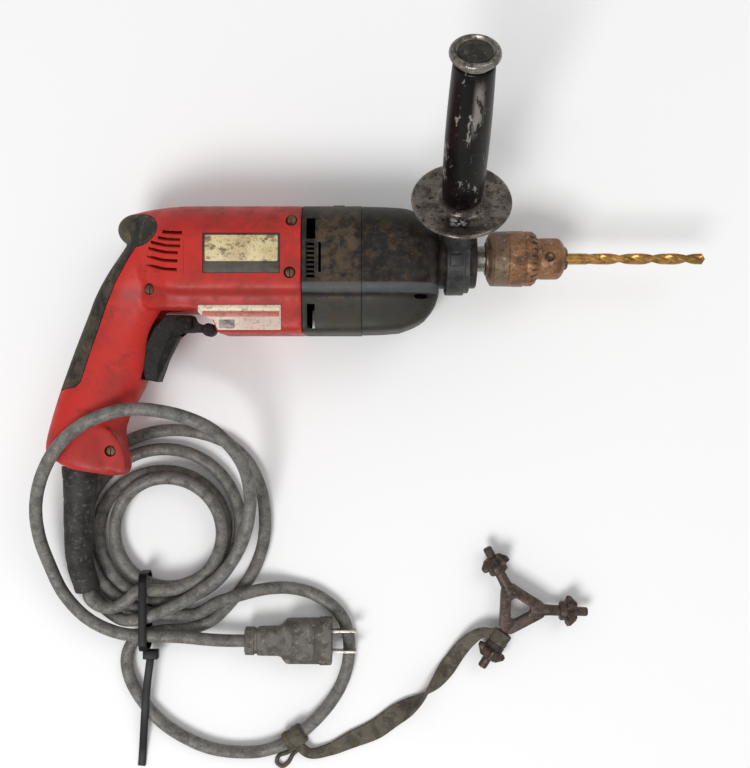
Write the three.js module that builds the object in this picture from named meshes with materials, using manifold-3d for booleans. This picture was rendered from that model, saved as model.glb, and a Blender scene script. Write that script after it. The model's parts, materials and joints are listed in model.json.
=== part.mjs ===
import * as THREE from 'three';
import { mergeVertices } from 'three/addons/utils/BufferGeometryUtils.js';
import Module from 'manifold-3d';

// Hammer drill lying on its left side, in millimetres.
// The spindle axis is the line y = 0, z = 0 until the whole drill is lifted onto its left side.
// +X points to the bit, +Y to the top of the drill and +Z away from the table.

const wasm = await Module();
wasm.setup();

// Driving dimensions

const gap = 0.3;
const overrun = 2;

const body = {
  length: 93,
  top: 29.9,
  bottom: 45.6,
  halfWidth: 36,
  wall: 3,
  dividingGap: 0.3,
};
const handle = {
  back: 154.3,
  drop: 130,
  wall: 5.6,
  floor: 6,
};
const grip = {
  thickness: 2.6, domeAt: 99, domeHeight: 17.2, domeLength: 12.5, domeRise: 9.9, domeHalfWidth: 17,
};
const bay = { backEdge: 84, frontEdge: 51.9, roof: 31.5 };
const vent = { height: 1.8, slope: 0.035, depthIn: 9, middleShare: 0.8 };
const screw = {
  headRadius: 3.5, headHeight: 2.2, sink: 1.6, shankRadius: 2, bossRadius: 5, reach: 13, bite: 6,
};
const plate = { thickness: 0.7, sink: 1 };
const namePlate = { length: 43.7, height: 22.4, front: 12.2, centre: -0.5 };
const ratingPlate = { length: 47.7, height: 14.4, front: 12, centre: -36.8 };

const trigger = { halfWidth: 9.5, travel: 6, inside: 8, top: 44, reach: 86.8, drop: 73.7 };
const lever = {
  halfWidth: 2.5, thickness: 4, knobLength: 7.6, knobHeight: 7.8, knobAt: 57.4, knobDrop: 42.3,
  pivotAt: 77,
};
const switchBody = { depth: 12, height: 30, halfWidth: 8.2, pullGap: 1, reachShare: 1.12, dropShare: 0.8 };
const lockButton = { radius: 3.4, travel: 2.5, proud: 2.2 };

const motor = { height: 3.5, shaftRadius: 3.5 };
const field = {
  from: body.length * 0.6237, length: body.length * 0.4086, radius: 26.5, halfHeight: 22.6,
  boreRadius: 15.4,
  windingShare: 0.82,
};
const armature = { radius: 14.5, windingRadius: 12, windingLength: 5 };
const commutator = { from: body.length * 0.8602, length: body.length * 0.1398, radius: 9.5 };
const brush = { width: 6, height: 8, length: 12, tubeWall: 1.6, tubeLength: 15, seat: 2 };
const rearBearing = { from: body.length * 0.9677, width: 6, radius: 9.5 };
const frontBearing = { from: 10, width: 7, radius: 11, lipRadius: 7 };
const fan = { from: 1.6, discThickness: 1.6, bladeLength: 5.4, radius: 20.5, hubRadius: 6, blades: 7 };

const firstStage = {
  module: 1, pinionTeeth: 9, gearTeeth: 37, shift: 0.45, from: 18.5, pinionLength: 7.5, gearLength: 6.5,
};
const secondStage = {
  module: 1.3, pinionTeeth: 9, gearTeeth: 21, shift: 0.45, from: 36.6, pinionLength: 11.5, gearLength: 9,
};
const pressureAngle = THREE.MathUtils.degToRad(20);
const backlash = 0.14;
const layshaft = { radius: 3, collarRadius: 4, frontEnd: 54.5, rearEnd: 10.8 };

const rearCase = {
  front: 34.2, wall: 3.2, skirt: 11.5, skirtWall: 2.6, diaphragmFrom: 9.5, diaphragm: 8.4, shoulder: 2.6,
};
const exhaust = {
  length: 4.2, slots: 6, slotFrom: -13.8, slotPitch: 3.3, slotHeight: 1.9, topWindow: [7, 21],
  keelWindow: [-43, -28.8],
};
const bearingPlate = { from: 28.5, thickness: 5.5 };
const frontCase = { front: 79.3, wall: 3.2, noseRadius: 17.9, noseEnd: 102.1, play: 1.6 };
const spindleRearBearing = { radius: 9, width: 5.2, boreRadius: 6 };
const spindleFrontBearing = { from: 66.5, width: 8.5, radius: 15.6, boreRadius: 8 };
const spindle = { rearRadius: 6, seatRadius: 7.2, neckRadius: 7.65, threadRadius: 6.2, threadLength: 15 };
const hammer = {
  travel: 1.5, ratchetFrom: 48.6, ratchetThickness: 4.2, toothHeight: 1.2, teeth: 5, radius: 15,
  spare: 0.3,
};
const spring = { wireRadius: 0.66, meanRadius: 11.6, turns: 0.94 };
const selector = {
  from: 17.4, length: 6.6, proud: 1.6, halfWidth: 4, travel: 6, fingerThickness: 1.5,
  armThickness: 3,
};

const clamp = { from: 83.8, width: 13.9, radius: 21.9, neckRadius: 8.5, neckTop: 43.4 };
const sideHandle = {
  tilt: THREE.MathUtils.degToRad(56),
  flangeRadius: 28.5,
  flangeHeight: 50.2,
  gripRadius: 12,
  capHeight: 155.3,
  capRadius: 13,
  capLength: 7,
  boltRadius: 4,
};

const chuck = {
  from: 107.8, sleeveInset: 1.4, chamferEnd: 111.6, sleeveEnd: 137.9, bodyEnd: 152.4, noseEnd: 154.8,
};
const chuckSize = {
  sleeveRadius: 16.75, chamferShare: 0.84, frontRadius: 12.35, noseRadius: 8.8, bore: 5, keyHoleAt: 145.1,
  keyHoleRadius: 3,
};
const bevel = { from: 132.2, teeth: 15, depth: 1.6 };
const jaw = {
  radius: 2.5, incline: THREE.MathUtils.degToRad(10), tipRadius: 4.7, tipAt: 157, length: 25, travel: 6,
};
const nut = { from: 124.5, length: 6, outerRadius: 14.9 };
const bit = {
  radius: 3.35, rear: 126, fluteFrom: 169, tip: 240.2, lead: 40, webShare: 0.34, pointLength: 2.6,
  grip: 0.2,
};

const cord = { diameter: 7.8, leadSteps: 5, runSteps: 60, sides: 8, coilSides: 6 };
const protector = {
  topRadius: 10.8, endRadius: 7.6, neckRadius: 7, neckLength: 12, stubLength: 26, ribs: 4, ribDepth: 0.7,
  route: [
    [-135, -127.9, 0], [-135.1, -132.5, -0.2], [-136.4, -146, -4], [-138.3, -165, -9.3],
    [-138.8, -185, -14.9], [-135.6, -201, -19.4],
  ],
};
const cordClamp = { length: 18, width: 8, thickness: 3 };
const leadRoute = [[-126.6, -213.2, -21.8], [-118.6, -213.2, -22], [-111.3, -208.6, -22]];
const coil = { centre: [-88.5, -166], radius: 35.6, turns: 3, stepsPerTurn: 24 };
const coilShares = [1.04, 1, 0.915, 0.915, 1.017, 1.03, 1.017, 1.213, 1.265, 1.285, 1.404, 1.465, 1.51];
const coilHeights = [-21.8, -22, -22, -29, -30.3, -32, -32, -32, -30.3, -32, -32, -32, -30.3];
const runRoute = [
  [-65, -216.6, -26.6], [-56, -211, -24], [-41.9, -206.2, -23.2], [-26.7, -203.1, -27],
  [-11.4, -203.3, -31.4], [4, -207.4, -32], [19.6, -219.2, -32], [25.2, -233, -32], [25, -250.0, -32],
  [19.6, -266.4, -32], [9.8, -280.4, -30.5], [-3.1, -292.5, -29.2], [-15.7, -300.7, -29.2],
  [-29.0, -305.5, -30.5], [-45.5, -306.6, -32], [-61.8, -304.1, -32], [-76.9, -297.8, -32],
  [-91.4, -288.4, -32], [-102.7, -276.4, -32], [-111.4, -262.0, -32], [-114.2, -249.5, -32],
  [-112.2, -240.5, -31.6], [-106.8, -234.2, -30.6], [-98.6, -231.2, -30.3], [-88.2, -229.6, -30.3],
  [-74.5, -228.9, -31.0], [-60.5, -223.4, -32], [-46.7, -209.7, -32], [-36.0, -195.2, -32],
  [-29.1, -178.3, -32], [-27.2, -160.6, -32], [-29.7, -141.8, -32], [-37.9, -124.1, -32],
  [-51.1, -112.2, -32], [-68.1, -105.9, -32], [-85.7, -104.0, -32], [-104.0, -107.1, -32],
  [-120.4, -114.7, -32], [-134.2, -126.7, -32], [-144.6, -143.0, -32], [-149.6, -163.2, -32],
  [-148.2, -181.4, -32], [-141.6, -199.5, -32], [-132.0, -211.6, -32], [-123.6, -218.6, -29.6],
  [-114.2, -222.0, -25.0], [-103, -220.8, -22.2], [-91.2, -216.5, -21], [-78.4, -210.5, -18.8],
  [-64.4, -201.7, -16], [-51.7, -191.4, -13.5], [-41.6, -177.0, -11], [-35.2, -159.5, -8],
  [-33.3, -141.3, -2], [-35.9, -125.0, 6], [-43.1, -111.4, 15], [-54.5, -100.6, 21], [-68.4, -94.1, 24.5],
  [-83.3, -90.6, 25.5], [-98.3, -89.5, 25.5], [-113.4, -92.4, 25], [-128.1, -99.0, 24.5],
  [-141.7, -111.0, 23], [-153, -127.4, 15.2], [-160.6, -147.2, 3.5], [-162.3, -166.6, -8],
  [-158.9, -184.7, -16.5], [-150.5, -205.5, -21.6], [-135.5, -221.0, -22], [-117.0, -229.4, -22],
  [-99.0, -231.2, -21.8], [-79.4, -232.0, -22.5], [-59.5, -234.2, -24],
];
const plug = {
  back: -38.8, height: -234.8, level: -24.4, length: 54, halfWidth: 14.2, halfThickness: 10.6,
  bladeSpacing: 12.7, bladeWidth: 6.3, bladeThickness: 1.5, bladeLength: 15.2, bladeRoot: 8,
};
const key = {
  centre: [131.6, -215.3], rise: 9.6, arm: 43, thickness: 6.9, webRadius: 16.5, holeRadius: 7,
  webSpread: THREE.MathUtils.degToRad(12), turn: THREE.MathUtils.degToRad(-2.5),
};
const keyHead = {
  radius: 9.4, backRadius: 6, collar: 3, length: 6.5, rim: 2, teeth: 8, notch: 1.8, pilotRadius: 2.8,
  pilotLength: 6.8,
};
const strap = {
  halfWidth: 6.3, halfThickness: 1.1, wrapRadius: 6.4, wrapLength: 14, wrapShare: 0.1607, holdAt: 21.5,
  holdLength: 8, loopRadius: 1.2, loopSteps: 7, loopSides: 6,
};
// Each point is followed by the strap's turn in degrees and the share of its width
const strapRoute = [
  [-6.5, -301.5, -29.8, 0, 0.5], [1, -307.6, -32.5, 0, 0.5], [13, -305.8, -33.9, 0, 0.6],
  [27.5, -299.4, -34.3, 0, 0.85], [42, -293.1, -34.4, 0, 1], [54.5, -284, -33.3, 8, 1],
  [63.4, -277.6, -30.4, 45, 0.95], [72.3, -271, -29.4, 90, 0.9], [79.8, -263.4, -30.4, 135, 0.85],
  [87.4, -254, -33.2, 174, 0.85], [95.6, -242.2, -31.8, 180, 0.75], [102.5, -234.4, -29, 180, 0.65],
  [109, -230.4, -27.2, 180, 0.5], [116.2, -230.6, -26.5, 180, 0.45],
];
const loopRoute = [
  [-8.5, -303.5, -31], [-13.5, -307.5, -33.4], [-18.6, -309.6, -34.2], [-20, -313.6, -34.4],
  [-16.6, -316.4, -34.4], [-12.8, -314, -34.3], [-10, -309, -33.8], [-6, -304.5, -31],
];
const tie = {
  at: -101.3, width: 4.8, thickness: 1.3, from: -239.6, to: -193, bottom: -34.6, top: -17.5, corner: 5,
  headShift: 3.7, headLevel: -25.5, headLength: 9.5, headHeight: 5.4,
};
const tailRoute = [
  [-97.6, -242.5, -25.5], [-98.5, -250, -25.4], [-99.9, -260, -26.2], [-101.6, -278, -26.9],
  [-103.3, -295, -30.8], [-104.7, -308, -34.4], [-105.4, -316.2, -35.2],
];

const tableHeight = body.halfWidth;
const frameShift = { along: -43, up: 16.3 };

// Shape helpers

function solidOf(geometry) {
  const bare = geometry.clone();
  bare.deleteAttribute('normal');
  bare.deleteAttribute('uv');
  const merged = mergeVertices(bare);
  const vertProperties = new Float32Array(merged.attributes.position.array);
  const triVerts = new Uint32Array(merged.index.array);
  const solid = new wasm.Manifold(new wasm.Mesh({ numProp: 3, vertProperties, triVerts }));
  if (solid.volume() > 0) return solid;
  triVerts.reverse();
  return new wasm.Manifold(new wasm.Mesh({ numProp: 3, vertProperties, triVerts }));
}

function geometryOf(solid) {
  const mesh = solid.getMesh();
  const geometry = new THREE.BufferGeometry();
  geometry.setAttribute('position', new THREE.BufferAttribute(new Float32Array(mesh.vertProperties), 3));
  geometry.setIndex(new THREE.BufferAttribute(new Uint32Array(mesh.triVerts), 1));
  geometry.computeVertexNormals();
  return geometry;
}

const join = (first, ...others) => others.reduce((whole, other) => whole.add(other), first);
const cut = (first, ...others) => others.reduce((whole, other) => whole.subtract(other), first);
const common = (first, second) => first.intersect(second);

function block([x0, x1], [y0, y1], [z0, z1], matrix) {
  const geometry = new THREE.BoxGeometry(x1 - x0, y1 - y0, z1 - z0);
  geometry.translate((x0 + x1) / 2, (y0 + y1) / 2, (z0 + z1) / 2);
  if (matrix) geometry.applyMatrix4(matrix);
  return solidOf(geometry);
}

function prism(outline, low, high, matrix) {
  const shape = new THREE.Shape(outline.map(([x, y]) => new THREE.Vector2(x, y)));
  const geometry = new THREE.ExtrudeGeometry(shape, { depth: high - low, bevelEnabled: false });
  geometry.translate(0, 0, low);
  if (matrix) geometry.applyMatrix4(matrix);
  return solidOf(geometry);
}

// A section drawn in Y and Z, drawn out along X
const sectionToX = new THREE.Matrix4().makeBasis(
  new THREE.Vector3(0, 1, 0),
  new THREE.Vector3(0, 0, 1),
  new THREE.Vector3(1, 0, 0),
);
const bar = (outline, from, to) => prism(outline, from, to, sectionToX);

// A profile of [place along X, radius], turned about a line parallel to X
function turned(profile, sides, height = 0, matrix = null) {
  const points = profile.map(([along, radius]) => new THREE.Vector2(radius, along));
  const geometry = new THREE.LatheGeometry(points, sides);
  geometry.rotateZ(-Math.PI / 2);
  geometry.translate(0, height, 0);
  if (matrix) geometry.applyMatrix4(matrix);
  return solidOf(geometry);
}

function drum(from, to, radius, sides, height = 0, matrix = null) {
  return turned([[from, 0], [from, radius], [to, radius], [to, 0]], sides, height, matrix);
}

function ring(from, to, outer, inner, sides, height = 0, matrix = null) {
  const profile = [[from, inner], [from, outer], [to, outer], [to, inner], [from, inner]];
  return turned(profile, sides, height, matrix);
}

// A round pin along Z
function pin(x, y, low, high, radius, sides = 16) {
  const geometry = new THREE.CylinderGeometry(radius, radius, high - low, sides);
  geometry.rotateX(Math.PI / 2);
  geometry.translate(x, y, (low + high) / 2);
  return solidOf(geometry);
}

// A skin over rings of points, closed by a fan at each end
function skin(rings) {
  const count = rings[0].length;
  const positions = rings.flat().flatMap((point) => [point.x, point.y, point.z]);
  const index = [];
  for (let i = 0; i < rings.length - 1; i += 1) {
    for (let j = 0; j < count; j += 1) {
      const a = i * count + j;
      const b = i * count + ((j + 1) % count);
      index.push(a, b, b + count, a, b + count, a + count);
    }
  }
  for (const [ringIndex, forward] of [[0, false], [rings.length - 1, true]]) {
    const centre = rings[ringIndex].reduce((sum, point) => sum.add(point), new THREE.Vector3());
    centre.divideScalar(count);
    const hub = positions.length / 3;
    positions.push(centre.x, centre.y, centre.z);
    for (let j = 0; j < count; j += 1) {
      const a = ringIndex * count + j;
      const b = ringIndex * count + ((j + 1) % count);
      if (forward) index.push(hub, a, b);
      else index.push(hub, b, a);
    }
  }
  const geometry = new THREE.BufferGeometry();
  geometry.setAttribute('position', new THREE.BufferAttribute(new Float32Array(positions), 3));
  geometry.setIndex(index);
  return solidOf(geometry);
}

const drill = new THREE.Group();
const bodies = [];

// The largest body of a solid, without the flat slivers that cuts can leave
function wholeOf(solid) {
  const pieces = solid.decompose();
  return pieces.reduce((largest, piece) => (piece.volume() > largest.volume() ? piece : largest));
}

function add(name, solid, [color, roughness, metalness], parent = drill) {
  const material = new THREE.MeshStandardMaterial({ color, roughness, metalness });
  const mesh = new THREE.Mesh(geometryOf(wholeOf(solid)), material);
  mesh.name = name;
  parent.add(mesh);
  bodies.push(mesh);
  return mesh;
}

const finish = {
  red: [0xbe3a30, 0.5, 0],
  darkRubber: [0x4b443a, 0.8, 0],
  blackPlastic: [0x37322f, 0.6, 0],
  castCase: [0x2d2823, 0.7, 0.3],
  steel: [0x8c857a, 0.4, 1],
  rust: [0x8c5f41, 0.7, 0.5],
  gold: [0xbe914b, 0.35, 1],
  copper: [0xb87345, 0.4, 1],
  laminate: [0x5c5c60, 0.5, 1],
  carbon: [0x2a2a2a, 0.6, 0],
  brass: [0xb8974a, 0.4, 1],
  cream: [0xd9cfb8, 0.6, 0],
  gloss: [0x191412, 0.25, 0],
  flange: [0x5f5550, 0.3, 0.8],
  greyRubber: [0x69645f, 0.8, 0],
};

// Housing: a barrel with a narrower keel below it, and a pistol handle

const barrelShares = [
  [1, 0.36], [0.92, 0.61], [0.735, 0.82], [0.485, 0.967], [0.37, 1], [-0.373, 1], [-0.47, 0.972],
  [-0.531, 0.844], [-0.945, 0.794], [-1, 0.66],
];

function barrelRing({ at, top, bottom, half }) {
  const right = barrelShares.map(([up, out]) => [up > 0 ? up * top : -up * -bottom, out * half]);
  const left = right.toReversed().map(([up, out]) => [up, -out]);
  return [...right, ...left].map(([up, out]) => new THREE.Vector3(at, up, out));
}

function barrel(stations, inset = 0) {
  return skin(stations.map(([at, topShare, bottomShare, widthShare]) => barrelRing({
    at,
    top: body.top * topShare - inset,
    bottom: body.bottom * bottomShare - inset,
    half: body.halfWidth * widthShare - inset,
  })));
}

const rearShares = [
  [1, 0.78, 0.2, 0.5], [0.968, 0.9, 0.45, 0.66], [0.9, 0.97, 0.75, 0.86], [0.78, 1, 1, 1],
];
const rearRounding = rearShares.map(([at, ...shares]) => [-at * body.length, ...shares]);
const barrelStations = [...rearRounding, [0, 1, 1, 1]];

const handleShares = [
  [0.668, -0.085, 0.454, -0.038, 0.62], [0.693, -0.035, 0.467, 0.077, 0.66],
  [0.758, 0.077, 0.506, 0.154, 0.6], [0.804, 0.173, 0.544, 0.254, 0.52],
  [0.836, 0.269, 0.588, 0.362, 0.48], [0.898, 0.458, 0.613, 0.563, 0.47],
  [0.962, 0.682, 0.698, 0.771, 0.49], [1, 0.873, 0.68, 0.931, 0.51], [0.956, 0.931, 0.684, 0.976, 0.5],
  [0.914, 0.958, 0.7, 0.998, 0.45],
];
const ovalSides = 12;
const ovalSquareness = 0.72;

function handleSkin(inset = 0, stations = handleShares) {
  return skin(stations.map(([rearBack, rearDrop, frontBack, frontDrop, width]) => {
    const rear = new THREE.Vector3(-rearBack * handle.back, -rearDrop * handle.drop, 0);
    const front = new THREE.Vector3(-frontBack * handle.back, -frontDrop * handle.drop, 0);
    const centre = rear.clone().add(front).divideScalar(2);
    const depth = rear.distanceTo(front) / 2;
    const direction = rear.sub(front).normalize();
    const half = width * body.halfWidth;
    return Array.from({ length: ovalSides }, (_, i) => {
      const angle = (i / ovalSides) * 2 * Math.PI;
      const bulge = (value) => Math.sign(value) * Math.abs(value) ** ovalSquareness;
      const point = centre.clone().addScaledVector(direction, bulge(Math.cos(angle)) * (depth - inset));
      point.z = bulge(Math.sin(angle)) * (half - inset);
      return point;
    });
  }));
}

const bayOutline = [
  [-body.length * 1.6, -bay.roof], [-bay.frontEdge * 1.21, -bay.roof],
  [-bay.frontEdge * 1.115, -bay.roof * 1.05], [-bay.frontEdge * 1.045, -bay.roof * 1.17],
  [-bay.frontEdge, -body.bottom], [-bay.frontEdge, -body.bottom - overrun],
  [-body.length * 1.6, -body.bottom - overrun],
];
const fullDepth = body.halfWidth + overrun;
const bayCutter = prism(bayOutline, -fullDepth, fullDepth);

const gripBoundaryShares = [
  [0.5, 0.3], [0.5, -0.14], [0.565, -0.12], [0.59, -0.08], [0.613, -0.066], [0.658, 0.014],
  [0.712, 0.125], [0.748, 0.221], [0.779, 0.327], [0.811, 0.432], [0.828, 0.496], [0.847, 0.566],
  [0.871, 0.59], [0.912, 0.597], [0.941, 0.61], [1.1, 0.64], [1.1, 0.3],
];
const gripOutline = gripBoundaryShares.slice(2).map(
  ([back, drop]) => [-back * handle.back, -drop * handle.drop],
);
gripOutline.push([-1.1 * handle.back, body.top + overrun], [-0.565 * handle.back, body.top + overrun]);
const gripZone = prism(gripOutline, -fullDepth, fullDepth);

const outerShape = join(cut(barrel(barrelStations), bayCutter), handleSkin());
function innerStations(shift) {
  return barrelStations.map(([at, ...shares], i) => {
    if (i < 2) return [at + shift, ...shares];
    return [i === barrelStations.length - 1 ? at + overrun : at, ...shares];
  });
}
const bayRoof = prism(bayOutline.map(([x, y]) => [x + body.wall, y + body.wall]), -fullDepth, fullDepth);
const barrelHollow = cut(barrel(innerStations(body.wall), body.wall), bayRoof);
const hollowStations = [0, 1, 3, 4, 5, 6, 7, 8].map((station) => handleShares[station]);
const handleHollow = handleSkin(handle.wall, hollowStations);
const gripCore = (clearance) => join(
  cut(barrel(innerStations(body.wall - gap + clearance), grip.thickness + clearance), bayCutter),
  handleSkin(grip.thickness + clearance),
);
const skinnedCore = gripCore(gap);
const dome = (() => {
  const geometry = new THREE.SphereGeometry(1, 12, 6);
  geometry.scale(grip.domeLength, grip.domeRise, grip.domeHalfWidth);
  geometry.translate(-grip.domeAt, grip.domeHeight, 0);
  return solidOf(geometry);
})();

function housingShell() {
  const zoneWithGap = join(
    gripZone, prism(gripOutline.map(([x, y]) => [x + gap, y - gap]), -fullDepth, fullDepth),
  );
  const gripSeat = cut(zoneWithGap, skinnedCore);
  return cut(outerShape, gripSeat);
}

const screwPlaces = [[-5.8, 18.4], [-6.6, -11.6], [-88.6, -20.1], [-112.9, -114.3]];
const screwNames = ['screw_upper_front', 'screw_lower_front', 'screw_behind_trigger', 'screw_foot'];

function surfaceHeight(x, y) {
  const probe = common(outerShape, pin(x, y, 0, fullDepth, screw.headRadius, 8));
  return probe.boundingBox().max[2];
}

const screwTops = screwPlaces.map(([x, y]) => surfaceHeight(x, y) - screw.sink);

const screwEnd = (top) => Math.max(-screw.reach, screw.bite - top);

const bosses = screwPlaces.map(([x, y]) => pin(x, y, -fullDepth, fullDepth, screw.bossRadius, 8));

// Each vent has its height as a share of the top, and its front and rear end as shares of the length
const ventShares = [
  [0.348, 0.728, 0.852], [0.224, 0.739, 0.881], [0.104, 0.739, 0.93], [-0.027, 0.754, 0.946],
  [-0.184, 0.756, 0.957], [-0.348, 0.76, 0.962],
];

function ventCutters(side) {
  return ventShares.map(([height, front, rear]) => {
    const slot = block(
      [-rear * body.length, -front * body.length],
      [-vent.height / 2, vent.height / 2],
      side > 0 ? [body.halfWidth - vent.depthIn, fullDepth] : [-fullDepth, vent.depthIn - body.halfWidth],
      new THREE.Matrix4().makeTranslation(
        0, height * body.top + vent.slope * vent.middleShare * body.length, 0,
      )
        .multiply(new THREE.Matrix4().makeRotationZ(vent.slope)),
    );
    return slot;
  });
}

// Trigger geometry is shared by the trigger and its opening in the handle
const pull = new THREE.Vector3(-0.951, 0.308, 0).normalize();
const triggerShares = [
  [1, 1], [0.98, 0.976], [0.952, 0.896], [0.914, 0.794], [0.88, 0.711], [0.858, 0.658], [0.84, 0.625],
  [0.95, 0.6], [1.045, 0.62], [1.12, 0.8], [1.085, 0.985],
];
const triggerOutline = triggerShares.map(([back, drop]) => [-back * trigger.reach, -drop * trigger.drop]);
const triggerMiddle = [-trigger.reach * 0.96, -trigger.drop * 0.78];
const triggerClearance = triggerOutline.map(([x, y]) => {
  const out = new THREE.Vector2(x - triggerMiddle[0], y - triggerMiddle[1]);
  out.setLength(out.length() + gap * 2);
  return [triggerMiddle[0] + out.x, triggerMiddle[1] + out.y];
});

const rib = { thickness: 3, inset: 2, brushInset: 1, tunnelPlay: 4 };

// The switch stands square to the trigger's pull, between two ribs of the housing
const pullFrame = new THREE.Matrix4().makeBasis(
  pull, new THREE.Vector3(-pull.y, pull.x, 0), new THREE.Vector3(0, 0, 1),
);
const triggerBack = Math.max(...triggerOutline.map(([x, y]) => x * pull.x + y * pull.y));
const switchFront = triggerBack + trigger.travel + switchBody.pullGap;
const switchMiddle = switchBody.reachShare * trigger.reach * pull.y
  - switchBody.dropShare * trigger.drop * pull.x;
const switchRibs = [-1, 1].map((side) => {
  const near = switchMiddle + side * (switchBody.height / 2 + gap);
  const far = near + side * rib.thickness;
  return block(
    [switchFront, switchFront + switchBody.depth], [Math.min(near, far), Math.max(near, far)],
    [-fullDepth, fullDepth], pullFrame,
  );
});

function fieldRibs() {
  const cradle = (at) => drum(at, at + rib.thickness, body.halfWidth * 2, 24, motor.height);
  return [-field.from + rib.inset, -field.from + field.length - rib.thickness - rib.inset].map(cradle);
}

const fieldClearance = (() => {
  const round = drum(
    -field.from - overrun, -field.from + field.length + overrun, field.radius + gap, 16, motor.height,
  );
  const flats = block(
    [-field.from - overrun, -field.from + field.length + overrun],
    [motor.height - field.halfHeight - gap, motor.height + field.halfHeight + gap],
    [-fullDepth, fullDepth],
  );
  return common(round, flats);
})();

const rearSeat = { from: -rearBearing.from - gap, to: -rearBearing.from + rearBearing.width };

function motorSupports() {
  const ribs = fieldRibs().map((cradle) => cut(cradle, fieldClearance));
  const bearingRib = ring(
    rearSeat.from, rearSeat.to, body.halfWidth * 2, rearBearing.radius + gap, 14, motor.height,
  );
  const brushRib = ring(
    -commutator.from + rib.brushInset, -commutator.from + commutator.length - rib.brushInset,
    body.halfWidth * 2,
    brush.tubeLength + commutator.radius + brush.tubeWall * 2 + brush.seat, 14, motor.height,
  );
  return [...ribs, bearingRib, brushRib];
}

const platePocket = (size, lift, lean) => {
  const matrix = new THREE.Matrix4().makeTranslation(-size.front - size.length / 2, size.centre, lift)
    .multiply(new THREE.Matrix4().makeRotationX(lean));
  return matrix;
};
// The keel's side runs from its upper to its lower share of bottom and half width
const keelUpper = { down: 0.531, out: 0.844 };
const keelLower = { down: 0.939, out: 0.794 };
const keelLean = Math.atan2(
  (keelUpper.out - keelLower.out) * body.halfWidth, (keelLower.down - keelUpper.down) * body.bottom,
);
const keelShare = (-ratingPlate.centre / body.bottom - keelUpper.down) / (keelLower.down - keelUpper.down);
const keelSide = (keelUpper.out + keelShare * (keelLower.out - keelUpper.out)) * body.halfWidth;
const namePlateMatrix = platePocket(namePlate, body.halfWidth - plate.sink, 0);
const ratingPlateMatrix = platePocket(ratingPlate, keelSide - plate.sink, keelLean);

function plateBlock(size, margin, low, high, matrix) {
  return block(
    [-size.length / 2 - margin, size.length / 2 + margin],
    [-size.height / 2 - margin, size.height / 2 + margin], [low, high],
    matrix,
  );
}

const neckSeat = { back: 0.875 * handle.back, drop: 0.965 * handle.drop };
const protectorLine = new THREE.LineCurve3(
  new THREE.Vector3(-neckSeat.back, -handle.drop + handle.floor * 2.4, 0),
  new THREE.Vector3(-neckSeat.back, -handle.drop * 1.05, 0),
);
const rodBetween = (from, to, radius, sides = 20) => {
  const geometry = new THREE.CylinderGeometry(radius, radius, from.distanceTo(to), sides);
  const turn = new THREE.Quaternion().setFromUnitVectors(
    new THREE.Vector3(0, 1, 0), to.clone().sub(from).normalize(),
  );
  geometry.applyQuaternion(turn);
  const middle = from.clone().add(to).divideScalar(2);
  geometry.translate(middle.x, middle.y, middle.z);
  return solidOf(geometry);
};

const lockPlace = { x: -0.76 * handle.back, y: -0.5 * handle.drop };

const switchPocket = block(
  [switchFront - gap / 2, switchFront + switchBody.depth + gap / 2],
  [switchMiddle - (switchBody.height + gap) / 2, switchMiddle + (switchBody.height + gap) / 2],
  [-switchBody.halfWidth - gap, switchBody.halfWidth + gap], pullFrame,
);

function buildHousing() {
  const shell = housingShell();
  const hollow = join(barrelHollow, handleHollow);
  const fittings = [...motorSupports(), ...bosses, ...switchRibs].map((piece) => common(piece, shell));
  let casing = join(cut(shell, hollow), ...fittings);
  const triggerSlots = [0, 0.33, 0.67, 1].map((share) => {
    const pulled = pull.clone().multiplyScalar(share * (trigger.travel + gap));
    const place = new THREE.Matrix4().makeTranslation(pulled.x, pulled.y, 0);
    return prism(triggerClearance, -trigger.halfWidth - gap, trigger.halfWidth + gap, place);
  });
  const mouth = prism([
    [-0.604 * handle.back, -0.46 * handle.drop], [-0.5 * handle.back, -0.2 * handle.drop],
    [-0.62 * handle.back, -0.2 * handle.drop], [-0.72 * handle.back, -0.46 * handle.drop],
  ], -trigger.halfWidth - gap, trigger.halfWidth + gap);
  const cordHole = rodBetween(protectorLine.v1, protectorLine.v2, protector.neckRadius + gap);
  const motorTunnel = drum(
    -rearBearing.from, overrun, motor.shaftRadius + rib.tunnelPlay, 20, motor.height,
  );
  const screwHoles = screwPlaces.map(([x, y], i) => join(
    pin(x, y, screwEnd(screwTops[i]) - gap, fullDepth, screw.shankRadius + gap, 8),
    pin(x, y, screwTops[i] - screw.headHeight - gap, fullDepth, screw.headRadius + gap, 12),
  ));
  casing = cut(
    casing, ...triggerSlots, mouth, switchPocket, cordHole, motorTunnel, ...screwHoles,
    ...ventCutters(1), ...ventCutters(-1),
    plateBlock(namePlate, gap, 0, plate.sink + overrun, namePlateMatrix),
    plateBlock(ratingPlate, gap, 0, plate.sink + overrun, ratingPlateMatrix),
    pin(lockPlace.x, lockPlace.y, -fullDepth, 0, lockButton.radius + gap),
  );
  const reach = handle.back * 1.2;
  const rightZone = block([-reach, overrun], [-reach, reach], [body.dividingGap / 2, fullDepth]);
  const leftZone = block([-reach, overrun], [-reach, reach], [-fullDepth, -body.dividingGap / 2]);
  add('housing_right', common(casing, rightZone), finish.red);
  add('housing_left', common(casing, leftZone), finish.red);
  const wrap = cut(common(join(outerShape, dome), gripZone), gripCore(0));
  add('rear_grip', wrap, finish.darkRubber);
}
buildHousing();

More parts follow.
